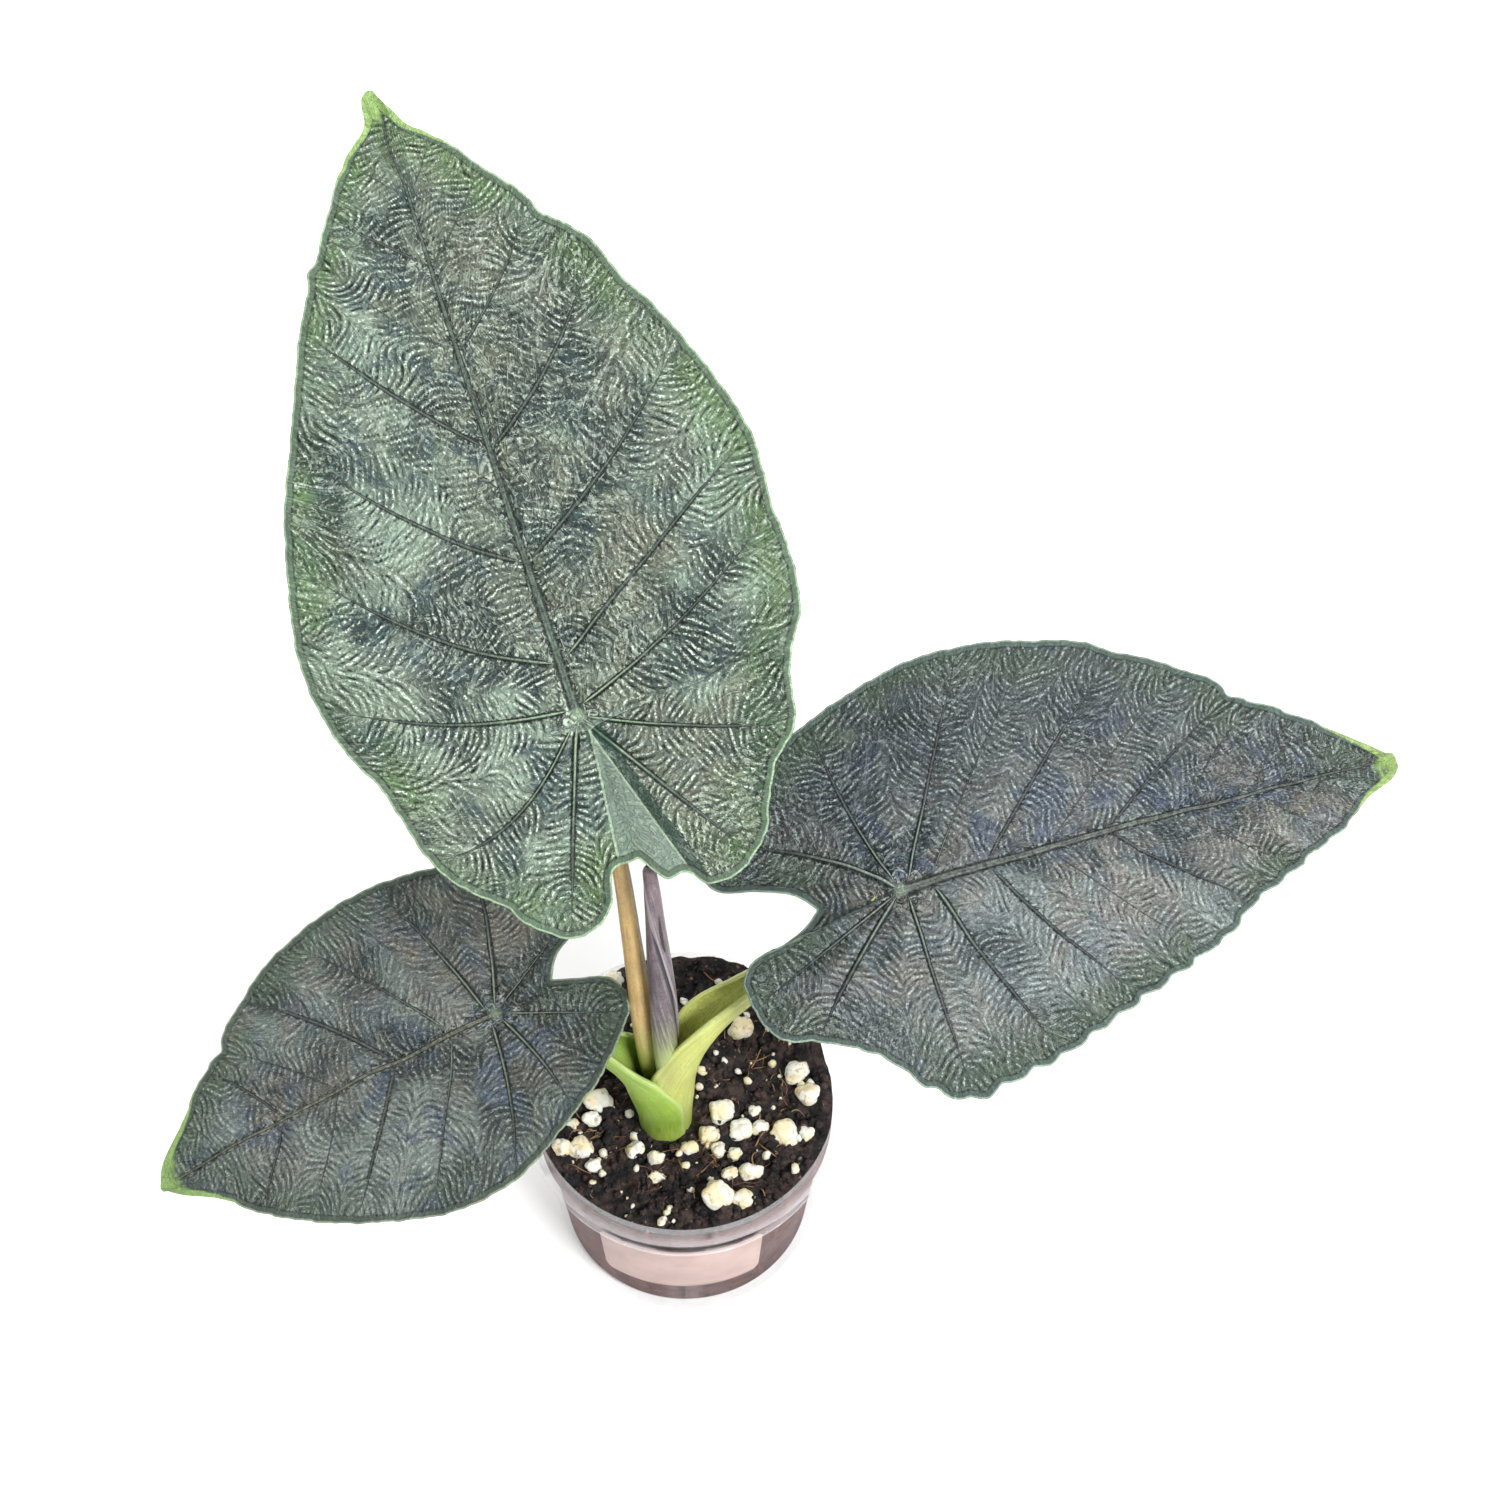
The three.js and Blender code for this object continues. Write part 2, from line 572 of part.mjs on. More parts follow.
function newLeaf() {
  return stalk(NEW_LEAF, NEW_LEAF_STEPS, NEW_LEAF_SIDES, 0, WRAP);
}

function newLeafSeat() {
  return stalk(NEW_LEAF, NEW_LEAF_STEPS, NEW_LEAF_SIDES, SEAT);
}

function largeStalk(grow = 0) {
  return stalk(LARGE_STALK, STALK_STEPS, STALK_SIDES, grow);
}

function rightStalkCore(grow) {
  return sheathCore(RIGHT_STALK, SHEATH_STEPS, SHEATH_SIDES + 2, grow);
}

// Rhizome with ringed leaf scars, and roots that wander out and down to the pot wall
function rhizomeAndRoots(grow = 0) {
  const rings = 8;
  const stations = [];
  for (let i = 0; i <= rings; i++) {
    const t = i / rings;
    const radius = RHIZOME_RADIUS * (0.45 + 0.55 * Math.sin(Math.PI * Math.min(1, 0.12 + t) * 0.5));
    const scar = i % 2 ? 0.25 : 0;
    stations.push([FOOT.x, FOOT.y, RHIZOME_TOP - RHIZOME_LENGTH * (1 - t), radius - scar]);
  }
  let body = stalk(stations, rings, 10, grow);
  const draw = seeded(11);
  for (let i = 0; i < ROOTS; i++) {
    const angle = (i / ROOTS) * 2 * Math.PI + 0.5 * draw();
    const start = RHIZOME_TOP - RHIZOME_LENGTH * (0.45 + 0.45 * draw());
    const low = 4 + 8 * draw();
    const turn = 0.9 * (draw() - 0.5);
    const root = [];
    for (let k = 0; k <= 4; k++) {
      const t = k / 4;
      const bend = angle + turn * t * t * 2;
      const reach = mix(1, 17 + 4 * Math.sin(i * 2.1), Math.sin((t * Math.PI) / 2));
      const x = mix(FOOT.x, 0, t) + reach * Math.cos(bend);
      const y = mix(FOOT.y, 0, t) + reach * Math.sin(bend);
      root.push([x, y, mix(start, low, t ** 1.4), mix(ROOT_RADIUS, ROOT_TIP_RADIUS, t)]);
    }
    body = body.add(stalk(root, 6, 5, grow));
  }
  return body;
}

// Soil level: a heap that rises to the back, with low clods
function soilLevel(x, y) {
  const heap = SOIL_HEAP * smooth(-2, 25, y - 0.2 * x);
  const clods = Math.sin(x * 0.9 + 1.3 * Math.sin(y * 0.7)) * Math.cos(y * 0.8 + Math.sin(x * 0.5));
  return SOIL_EDGE_LEVEL + heap + SOIL_CLODS * clods;
}

// The larger perlite grains as they lie: [x, y, across, tall]
const GRAINS = [
  [-8.6, -11.4, 3.1, 3.6], [-4.8, -12.9, 2.6, 4], [-4.5, -16.6, 2.7, 2], [-18.1, -10.8, 4.8, 3],
  [-15.6, -14.4, 3.3, 2.4], [-22, -11, 2.9, 3.2], [1.2, -10.8, 3.2, 3.2], [4.7, -8, 3.8, 4],
  [10.6, -6.8, 4.4, 3.8], [14.2, -6.4, 3, 3], [6.7, -11.2, 2.7, 2.4], [9.4, -11.9, 2.7, 2.4],
  [18.4, -7.4, 4.9, 3.4], [22.6, -7.6, 3, 2.4], [8.7, -15.7, 2.7, 2.6], [12.5, -15.3, 3.7, 3.8],
  [6.9, -20.3, 5.6, 5], [11.3, -20.6, 3.8, 3.6], [-15.7, -1.8, 4.9, 4.2], [-16.9, -5, 3, 2.3],
  [-20.4, -6.5, 2.7, 2.3], [6.9, -3.4, 4.4, 3.4], [10.2, 12.6, 4.4, 5], [20.8, 4.8, 4.4, 5],
  [23, 0.4, 4.2, 4], [-14.2, 21, 3.8, 3.4], [-18, 18.4, 2.6, 2.4], [13, -3.2, 2.4, 2],
];
const SMALL_GRAINS = 10;

// One rough grain, sunk by a third into the soil
function grain(x, y, across, tall, draw, detail) {
  const geometry = new THREE.IcosahedronGeometry(0.5, detail);
  geometry.deleteAttribute('normal');
  geometry.deleteAttribute('uv');
  const rough = mergeVertices(geometry, 1e-4);
  const position = rough.attributes.position;
  for (let i = 0; i < position.count; i++) {
    const swell = 0.86 + 0.3 * draw();
    position.setXYZ(i, position.getX(i) * swell, position.getY(i) * swell, position.getZ(i) * swell);
  }
  rough.rotateZ(draw() * Math.PI);
  rough.scale(across, across * (0.8 + 0.2 * draw()), tall);
  rough.translate(x, y, soilLevel(x, y) + tall * 0.17);
  return solidOf(rough);
}

function soil() {
  const wallFoot = POT_FLOOR + EDGE_ROUND + SEAT;
  const ridgeFoot = COLLAR_FOOT - EDGE_ROUND * 2;
  const footRadius = POT_BASE_RADIUS - POT_WALL - SEAT;
  const stepRadius = TAPER_TOP_RADIUS - POT_WALL - SEAT;
  const collarRadius = COLLAR_RADIUS - POT_WALL - SEAT;
  const points = [new THREE.Vector3(0, 0, wallFoot - EDGE_ROUND)];
  const triangles = [];
  const ringAt = (radius, level) => {
    const start = points.length;
    for (let i = 0; i < SOIL_SIDES; i++) {
      const a = (i / SOIL_SIDES) * 2 * Math.PI;
      const [x, y] = [radius * Math.cos(a), radius * Math.sin(a)];
      points.push(new THREE.Vector3(x, y, level === null ? soilLevel(x, y) : level));
    }
    return start;
  };
  const rings = [
    ringAt(footRadius - EDGE_ROUND, wallFoot - EDGE_ROUND),
    ringAt(footRadius, wallFoot),
    ringAt(stepRadius, ridgeFoot),
    ringAt(collarRadius, COLLAR_FOOT + EDGE_ROUND),
    ringAt(collarRadius, SOIL_EDGE_LEVEL - 2),
  ];
  for (let i = 0; i < SOIL_RINGS; i++) {
    rings.push(ringAt(collarRadius * (1 - i / SOIL_RINGS) - 0.15, null));
  }
  const crown = points.length;
  points.push(new THREE.Vector3(0, 0, soilLevel(0, 0)));
  for (let i = 0; i < SOIL_SIDES; i++) {
    const n = (i + 1) % SOIL_SIDES;
    triangles.push([0, rings[0] + n, rings[0] + i]);
    for (let r = 0; r < rings.length - 1; r++) {
      const [a, b] = [rings[r], rings[r + 1]];
      triangles.push([a + i, a + n, b + n], [a + i, b + n, b + i]);
    }
    triangles.push([rings[rings.length - 1] + i, rings[rings.length - 1] + n, crown]);
  }
  let body = solid(points, triangles);
  const draw = seeded(5);
  for (const [x, y, across, tall] of GRAINS) {
    body = body.add(grain(x, y, across, tall, draw, across > 5 ? 1 : 0));
  }
  for (let i = 0; i < SMALL_GRAINS; i++) {
    const reach = 25 * Math.sqrt(draw());
    const angle = 2 * Math.PI * draw();
    const [x, y] = [reach * Math.cos(angle), reach * Math.sin(angle)];
    const across = 1 + 0.8 * draw();
    if (Math.hypot(x - FOOT.x, y - FOOT.y) > STEM_HOLE_RADIUS + across) {
      body = body.add(grain(x, y, across, across, draw, 0));
    }
  }
  const soilTop = POT_HEIGHT + SOIL_HEAP;
  body = body.subtract(cylinder(STEM_HOLE_RADIUS, RHIZOME_TOP - 2, soilTop, FOOT.x, FOOT.y, 16));
  return body.subtract(rhizomeAndRoots(SEAT));
}

const CLEAR = '#dcd3df';
addNode('pot', pot(), CLEAR, 0.18, 0, 0.45);
addNode('pot_label', label(), '#e6d6d8', 0.6);
addNode('soil', largest(soil()), '#2b201c', 0.95);
addNode('rhizome_and_roots', rhizomeAndRoots(), '#cdbb93', 0.8);

const largeBladeSeat = blade(LEAF_LARGE, LARGE_SHAPE, ABOVE_BLADE, SEAT);
const rightBladeSeat = blade(LEAF_RIGHT, RIGHT_SHAPE, ABOVE_BLADE, SEAT);
const leftBladeSeat = blade(LEAF_LEFT, LEFT_SHAPE, ABOVE_BLADE, SEAT);

// What stands on the rhizome is cut flat just above it, and each stalk is cut clear of the ones it wraps
const seated = (body, ...neighbours) => {
  const cut = neighbours.reduce((rest, other) => rest.subtract(other), body);
  return largest(cut.trimByPlane([0, 0, 1], RHIZOME_TOP + SEAT));
};
const spike = newLeaf();
const large = seated(largeStalk(), newLeafSeat(), largeBladeSeat);
const right = seated(
  sheath(RIGHT_STALK, SHEATH_STEPS, SHEATH_SIDES), newLeafSeat(), largeStalk(SEAT), rightBladeSeat,
);
const left = seated(
  sheath(LEFT_STALK, SHEATH_STEPS, SHEATH_SIDES),
  newLeafSeat(), largeStalk(SEAT), rightStalkCore(SEAT), leftBladeSeat,
);

addNode('stalk_large', large, '#a48f5d', 0.55);
addNode('blade_large', blade(LEAF_LARGE, LARGE_SHAPE), '#3c5148', 0.6);
addNode('stalk_right', right, '#94a24a', 0.5);
addNode('blade_right', blade(LEAF_RIGHT, RIGHT_SHAPE), '#2f4145', 0.6);
addNode('stalk_left', left, '#8cc63e', 0.5);
addNode('blade_left', blade(LEAF_LEFT, LEFT_SHAPE), '#32464c', 0.6);
addNode('new_leaf_rolled', spike, '#85767c', 0.6);

export default plant;
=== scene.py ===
"""Potted velvet alocasia: the fine pieces, their materials, the light and the camera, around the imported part.

Sizes are in millimetres and become metres where a mesh is laid. Colours are linear.
"""

import math
from types import SimpleNamespace as Leaf

import bpy
import numpy as np
from mathutils import Euler, Matrix, Vector, kdtree, noise


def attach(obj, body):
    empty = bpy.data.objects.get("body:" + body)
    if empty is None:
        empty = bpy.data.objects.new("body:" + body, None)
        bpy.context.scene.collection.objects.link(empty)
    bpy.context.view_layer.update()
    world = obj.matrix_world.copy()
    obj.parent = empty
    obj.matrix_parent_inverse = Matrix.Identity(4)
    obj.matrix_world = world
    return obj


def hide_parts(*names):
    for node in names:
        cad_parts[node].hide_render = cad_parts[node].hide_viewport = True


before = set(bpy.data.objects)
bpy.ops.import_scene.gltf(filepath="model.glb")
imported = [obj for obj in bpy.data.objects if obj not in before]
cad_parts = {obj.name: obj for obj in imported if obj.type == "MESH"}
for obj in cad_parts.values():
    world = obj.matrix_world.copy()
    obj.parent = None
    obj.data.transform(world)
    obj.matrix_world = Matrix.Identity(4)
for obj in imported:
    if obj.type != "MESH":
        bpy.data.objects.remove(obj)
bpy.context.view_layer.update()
MM = 0.001

# Camera: its place, how far down it looks, its turn about its own axis, and its lens. Angles are in degrees
CAMERA_AT = (11.01, -196.92, 400.02)
CAMERA_DOWN = 52.5
CAMERA_ROLL = 1.0
CAMERA_LENS = 52.8
CAMERA_SENSOR = 36.0

# Studio: (name, place in metres, size in metres, power), and where the lights look
LIGHTS = [("key", (0.8, -0.8, 1.05), 0.5, 26.0), ("fill", (-0.6, 0.5, 1.1), 0.7, 12.0)]
LIT_SPOT = (0, 0.02, 0.08)
DAYLIGHT = 0.55
FLOOR_SIZE = 6

# Pot
POT_HEIGHT = 40
POT_RIM_RADIUS = 30
POT_BASE_RADIUS = 25
POT_WALL = 1
POT_FLOOR = 1.2
POT_SIDES = 144
LIP_DEPTH = 2.3
LIP_WIDTH = 2.2
COLLAR_RADIUS = 28.6
COLLAR_FOOT = 31.4
TAPER_TOP_RADIUS = 27.3
EDGE_ROUND = 0.5
DRAIN_HOLES = 5
DRAIN_RADIUS = 2.5
DRAIN_CIRCLE = 15
DRILL_DEPTH = 6
LABEL_HALF_ANGLE = 33
LABEL_TOP = 29.8
LABEL_HEIGHT = 17.5
LABEL_THICKNESS = 0.12
LABEL_CORNER = 0.035
LABEL_GAP = 0.04

# Potting mix. CRUMB_REACH, GRAIN_REACH and FIBRE_REACH are how far out the loose bits lie
SEAT = 0.3
SOIL_RINGS = 96
SOIL_SIDES = 288
SOIL_EDGE_LEVEL = 37.6
SOIL_HEAP = 5.4
SOIL_CLODS = 0.55
FOOT = (-3.1, -4.3)
STEM_RADIUS = 5.4
CRUMBS = 1700
CRUMB_REACH = 26.7
CRUMB_SEED = 21
SMALL_GRAINS = 150
GRAIN_REACH = 26
GRAIN_SEED = 8
FIBRES = 130
FIBRE_REACH = 25
FIBRE_SEED = 13
FIBRE_STEPS = 8

# The larger perlite grains as they lie: (x, y, across, tall)
GRAINS = [
    (-8.6, -11.4, 3.1, 3.6), (-4.8, -12.9, 2.6, 4), (-4.5, -16.6, 2.7, 2), (-18.1, -10.8, 4.8, 3),
    (-15.6, -14.4, 3.3, 2.4), (-22, -11, 2.9, 3.2), (1.2, -10.8, 3.2, 3.2), (4.7, -8, 3.8, 4),
    (10.6, -6.8, 4.4, 3.8), (14.2, -6.4, 3, 3), (6.7, -11.2, 2.7, 2.4), (9.4, -11.9, 2.7, 2.4),
    (18.4, -7.4, 4.9, 3.4), (22.6, -7.6, 3, 2.4), (8.7, -15.7, 2.7, 2.6), (12.5, -15.3, 3.7, 3.8),
    (6.9, -20.3, 5.6, 5), (11.3, -20.6, 3.8, 3.6), (-15.7, -1.8, 4.9, 4.2), (-16.9, -5, 3, 2.3),
    (-20.4, -6.5, 2.7, 2.3), (6.9, -3.4, 4.4, 3.4), (10.2, 12.6, 4.4, 5), (20.8, 4.8, 4.4, 5),
    (23, 0.4, 4.2, 4), (-14.2, 21, 3.8, 3.4), (-18, 18.4, 2.6, 2.4), (13, -3.2, 2.4, 2),
]

# Stalk of the large leaf, and the new leaf rolled up beside it: (x, y, z, radius)
LARGE_STALK = [
    (-3.8, -3.5, 33, 1.3), (-4.1, -3.3, 41, 1.4), (-4.9, -3.2, 49, 1.7), (-5.9, -2.9, 57, 1.95),
    (-6.8, -0.8, 65, 2), (-7.5, 1.6, 73, 1.95), (-8.6, 5.2, 83, 1.7), (-10.2, 10.4, 96, 1.45),
    (-12.6, 14.4, 110, 1.35), (-15.4, 17, 124, 1.4), (-16.8, 18, 131, 1.5),
]
NEW_LEAF = [
    (-1.7, -5.3, 41, 1.05), (-1.9, -5.8, 47, 1.5), (-2.1, -6.3, 53, 1.9), (-2.5, -5.6, 60, 2.3),
    (-2.9, -3.6, 67, 2.5), (-3.3, -1, 74, 2.55), (-3.9, 1.6, 82, 2.3), (-4.4, 3.8, 90, 1.85),
    (-4.8, 5.2, 97.8, 1.55), (-5.1, 5.9, 103.2, 1.15), (-5.15, 6, 104.2, 0.5),
]
WRAP_STEP = 0.16
WRAP_START = 8.9
WRAP_TURN = -6.0

# Stalks with a sheath at their foot. Each station has its centre, its outer radius, its channel's radius, the
# channel's shift towards its mouth, the mouth's half angle in degrees, and the way it faces.
RIGHT_STALK = [
    ((-2.6, -4.3, 33), 4, 3.1, 0, 25, (-1, 0.1, 0)),
    ((-2.6, -4.3, 41), 4.2, 3.3, 0, 32, (-1, 0.1, 0)),
    ((-2.7, -4.5, 49), 4.8, 3.8, -0.1, 45, (-1, 0.2, 0)),
    ((-2.3, -4.2, 56), 4.9, 3.9, 0, 62, (-1, 0.3, 0.3)),
    ((0, -2.6, 62.4), 4.5, 3.5, 0.2, 68, (-0.9, 0.2, 0.7)),
    ((4.2, 0, 67), 3.9, 2.9, 0.6, 62, (-0.5, -0.1, 1)),
    ((10, 2.4, 71), 3, 2, 0.8, 54, (-0.3, -0.3, 1)),
    ((18, 5.2, 76.4), 2.2, 1, 0.9, 40, (-0.3, -0.3, 1)),
    ((27, 8.4, 82.6), 1.7, 0.5, 0.9, 30, (-0.3, -0.3, 1)),
    ((37.6, 11.8, 91), 1.5, 0.4, 0.8, 30, (-0.3, -0.3, 1)),
]
LEFT_STALK = [
    ((-3.2, -4.3, 33), 4.9, 4.1, 0.4, 48, (1, 0.1, 0)),
    ((-3.3, -4.3, 41), 5.1, 4.3, 0.4, 52, (1, 0.1, 0)),
    ((-3.8, -4.5, 49), 5.8, 4.9, 0.4, 60, (1, 0.2, 0.1)),
    ((-5.4, -4.3, 54.6), 5.6, 4.6, 0.3, 72, (1, 0.2, 0.5)),
    ((-8.8, -3.6, 58), 4.4, 3.4, 0.3, 74, (0.6, 0, 1)),
    ((-13.4, -2.8, 60.4), 3.2, 2.1, 0.5, 58, (0.3, -0.1, 1)),
    ((-19.6, -2.4, 63.6), 2.2, 1, 0.8, 40, (0.3, -0.1, 1)),
    ((-26, -2.2, 67), 1.7, 0.5, 0.9, 30, (0.3, -0.1, 1)),
    ((-33, -2, 71), 1.5, 0.4, 0.8, 30, (0.3, -0.1, 1)),
]

# Leaf blades
STALK_TOP_DEPTH = 1.5
BLADE_THICKNESS = 0.75
EDGE_THICKNESS = 0.4
MIDRIB_KEEL = 0.9
MIDRIB_HALF_WIDTH = 1.7
MIDRIB_GROOVE = 0.5
GROOVE_HALF_WIDTH = 1.4
LOBE_SAG = 0.004
MARGIN_WOBBLE = 0.07
SPOKE_CROWDING = 0.92
TOOTH_LENGTH = 5.8
FAR = 99
RIPPLE_SPACING = 1.0
RIPPLE_PITCH = 0.25
RIPPLE_WANDER = 0.3
RIPPLE_ROUNDS = 3
RIPPLE_TURNS = 12
PUCKER_HEIGHT = 0.3
UNDERSIDE_SHARE = 0.62
SEAM = 0.02

# Each leaf has where its stalk meets the blade, the way to the tip, and the way the upper face looks.
# Half margins run from the tip to the cleft between the basal lobes, in the blade's own plane. A point with a
# third number is the end of a side vein, and that number is the vein's root on the midrib. A fourth is how
# strongly the vein shows, and a fifth how far its middle bows to the base. Hook and lean move the tip
# sideways, arch, fold and droop curve the blade, and web is how deep the web by the lobes lies. Swell and
# wave are the heights between the veins and at the margin, frill is the depth of the teeth, column the gap
# between spokes, rings the steps along them, and cap the tip's half width. Seed and ripple are the ripples'
# seed and height, and midrib is the midrib's half width.
LEAVES = {
    "large": Leaf(
        at=(-16.3, 17.9, 128.3), to_tip=(-0.33, 0.81, 0.49), faces=(-0.03, -0.53, 0.85),
        right=[
            (0, 108.5, 108.5), (0.8, 107), (1.4, 104.5), (3.6, 100.2), (7, 96.8, 88, 0.25),
            (12.5, 88.5, 75, 0.4, 1), (18.4, 80.1, 60, 0.8, 2), (19.7, 76.7), (22.7, 74),
            (26, 69.7, 44, 1, 3.6), (28.3, 63), (32, 56.3), (34.4, 50.9, 25, 1, 2.4), (37.6, 42),
            (40, 33, 8.5, 1, 0), (39.8, 26), (39.5, 20.6, 1, 1, 2.2), (39.9, 14.5), (38.8, 5), (34.8, -2.1),
            (33.3, -7.6), (32.3, -11.9, 0, 1, 1), (27.6, -16.6), (24.8, -21.5), (22.8, -26),
            (19.5, -29.3, 0, 1, 0), (15, -31.5), (10.9, -31.1), (8.4, -28.4), (5, -28.3), (1.6, -23.8, 0),
        ],
        left=[
            (0, 108.5, 108.5), (-1.4, 107.4), (-2.5, 105), (-3.3, 101.4), (-7.3, 97, 88, 0.25),
            (-13.4, 88, 75, 0.7, 0), (-17, 81.2, 60, 0.3, 2), (-18.6, 79.8), (-19.3, 77.1),
            (-22.5, 71.2, 44, 1, 1.8), (-26.4, 60.6), (-29.5, 53.4, 25, 1, 3.4), (-33.3, 43.6),
            (-35.5, 36.6, 8.5, 1, 4.2), (-37.6, 27), (-38.5, 20), (-38.2, 13.5, 1, 1, 2.8), (-36.1, 5.3),
            (-32.7, -1.7), (-31, -8.6), (-29.4, -14.6, 0, 1, 5), (-26, -20), (-20.5, -25), (-18.4, -28.4),
            (-12.6, -32.7, 0, 1, 0), (-8.3, -32.4), (-4.6, -29.6), (-2.6, -24.6), (1.6, -23.8, 0),
        ],
        length=105, hook=-1.5, arch=0.22, fold=0.16, droop=0.0034, web=2.0,
        swell=1.0, wave=0.9, frill=0, column=0.56, rings=102, seed=3, cap=0.8, lean=1.2,
        ripple=0.17, midrib=0.85,
    ),
    "right": Leaf(
        at=(37, 11.6, 90), to_tip=(0.94, 0.34, -0.03), faces=(0.16, -0.36, 0.92),
        right=[
            (0, 96, 96), (1.8, 95.4), (3.7, 93.1), (6, 86.8, 80, 0.25), (10.9, 78.7, 66, 0.3), (12.8, 73.1),
            (14.9, 68.6, 52, 0.4, 1.5), (18.8, 58.4, 37, 1, 1), (22.9, 51.8), (24.9, 46.6, 26, 0.3, 1),
            (29.3, 33.7, 15, 1, 1.5), (31.6, 26.6), (34.6, 17.8, 5, 1, 1), (36.2, 9), (37.5, 1, 1, 1, 0.5),
            (35.4, -3.3), (32.2, -7.1), (28.2, -9.9), (24.8, -13.2), (20.5, -20.5, 0, 1, 1), (19, -25),
            (16.6, -27.4), (12, -28.6, 0, 0.7, 0), (7.4, -29), (4.2, -26.6), (3, -21), (1, -16.4),
            (-1, -14, 0),
        ],
        left=[
            (0, 96, 96), (-2.7, 91.5), (-7.1, 84.5, 80, 0.25), (-11.7, 77.3, 66, 0.4),
            (-15.4, 70.5, 52, 0.4, 1.5), (-17.4, 66.5, 37, 1, 1.5), (-20, 64.9), (-24.4, 58.7, 26, 0.3, 1),
            (-29.8, 48.7, 15, 1, 1.5), (-33.2, 42.6), (-35.7, 34.5, 5, 0.4, 1), (-38, 22, 1, 1, 0.5),
            (-37.9, 13), (-35.6, 2.8), (-32.4, -6.8, 0, 1, 1.5), (-28.4, -15), (-23.6, -24),
            (-18, -29.6, 0, 1, -4), (-12.7, -31), (-8.8, -28.7), (-6.9, -23), (-4.2, -17), (-1, -14, 0),
        ],
        length=95, hook=0, arch=0.2, fold=0.16, droop=0.0036, web=0,
        swell=0.9, wave=0.8, frill=0.8, column=0.55, rings=98, seed=4, cap=1.1, lean=0,
        ripple=0.15, midrib=0.95,
    ),
    "left": Leaf(
        at=(-32.3, -2, 70), to_tip=(-0.87, -0.34, -0.35), faces=(-0.22, -0.36, 0.9),
        right=[
            (0, 67, 67), (3.2, 64.8), (8.2, 58.1, 54, 0.3), (14.2, 50.6, 41, 0.7, 1),
            (16.1, 46.5, 30, 0.4, 1), (18, 45.4), (22.6, 39.5, 19, 1, 1.5), (28.1, 28.2, 8, 0.6, 1),
            (29.9, 19), (30.6, 11, 1, 1, 1), (29, 1), (27, -7, 0, 1, 1), (22.6, -14), (17, -19),
            (12, -20.4, 0, 0.7, 0), (7.8, -18.2), (4.6, -13.4), (1.4, -11, 0),
        ],
        left=[
            (0, 67, 67), (-3.2, 63.1), (-7.6, 56.1, 54, 0.3), (-12.9, 50.7, 41, 0.7, 1),
            (-19, 42, 30, 0.4, 1), (-22.8, 35, 19, 1, 1), (-27.6, 22.8, 8, 0.6, 1), (-29, 15),
            (-28.1, 7, 1, 1, 1), (-25.8, 0.5), (-22, -6, 0, 1, 1), (-18.6, -12), (-14, -17),
            (-9.6, -20.6, 0, 0.7, 0), (-6, -21.6), (-2.4, -19.8), (0, -14.6), (1.4, -11, 0),
        ],
        length=70, hook=0, arch=0.18, fold=0.14, droop=0.0036, web=0,
        swell=0.8, wave=0.7, frill=0, column=0.42, rings=102, seed=5, cap=0.9, lean=0,
        ripple=0.12, midrib=0.5,
    ),
}


def mix(a, b, t):
    return a + (b - a) * t


def smooth(lo, hi, x):
    t = np.clip((np.asarray(x, float) - lo) / (hi - lo), 0, 1)
    return t * t * (3 - 2 * t)


def bell(x, width):
    return np.exp(-((x / width) ** 2))


def unit(v):
    v = np.asarray(v, float)
    return v / np.linalg.norm(v, axis=-1, keepdims=True)


def spline(points, at, even=False):
    """Places on the centripetal curve through points, at being counted in points from the first.

    Sizes rather than places take even gaps, because two in a row can be the same.
    """
    p = np.asarray(points, float)
    p = np.vstack([2 * p[0] - p[1], p, 2 * p[-1] - p[-2]])
    at = np.asarray(at, float)
    k = np.clip(np.floor(at).astype(int), 0, len(p) - 4)
    f = (at - k)[:, None]
    a, b, c, d = (p[k + i] for i in range(4))
    pairs = ((b, a), (c, b), (d, c))
    gap = [1.0 if even else np.sum((q - r) ** 2, -1, keepdims=True) ** 0.25 for q, r in pairs]
    start = ((b - a) / gap[0] - (c - a) / (gap[0] + gap[1]) + (c - b) / gap[1]) * gap[1]
    end = ((c - b) / gap[1] - (d - b) / (gap[1] + gap[2]) + (d - c) / gap[2]) * gap[1]
    return (
        b + start * f + (3 * (c - b) - 2 * start - end) * f**2 + (2 * (b - c) + start + end) * f**3
    )


def sheet(name, points):
    """A grid laid onto rows and columns of points."""
    rows, columns = points.shape[:2]
    bpy.ops.object.select_all(action="DESELECT")
    bpy.ops.mesh.primitive_grid_add(x_subdivisions=columns - 1, y_subdivisions=rows - 1, size=1)
    piece = bpy.context.object
    piece.name = piece.data.name = name
    piece.data.vertices.foreach_set("co", (points.reshape(-1, 3) * MM).ravel())
    piece.data.update()
    return piece


def note(piece, **marks):
    """Writes a number, or a place in millimetres, for each point of the mesh, for the material to read."""
    for name, values in marks.items():
        values = np.asarray(values, np.float32)
        kind, field = ("FLOAT_VECTOR", "vector") if values.shape[-1] == 3 else ("FLOAT", "value")
        piece.data.attributes.new(name, kind, "POINT").data.foreach_set(field, values.ravel())


def select(*pieces):
    """Selects these pieces alone, and makes the first one active."""
    bpy.ops.object.select_all(action="DESELECT")
    for piece in pieces:
        piece.select_set(True)
    bpy.context.view_layer.objects.active = pieces[0]


def join(name, pieces):
    select(*pieces)
    bpy.ops.object.join()
    pieces[0].name = pieces[0].data.name = name
    return pieces[0]


def edit(piece, *steps):
    """Runs edit-mode operators on all of one piece."""
    select(piece)
    bpy.ops.object.mode_set(mode="EDIT")
    bpy.ops.mesh.select_all(action="SELECT")
    for step in steps:
        step()
    bpy.ops.object.mode_set(mode="OBJECT")


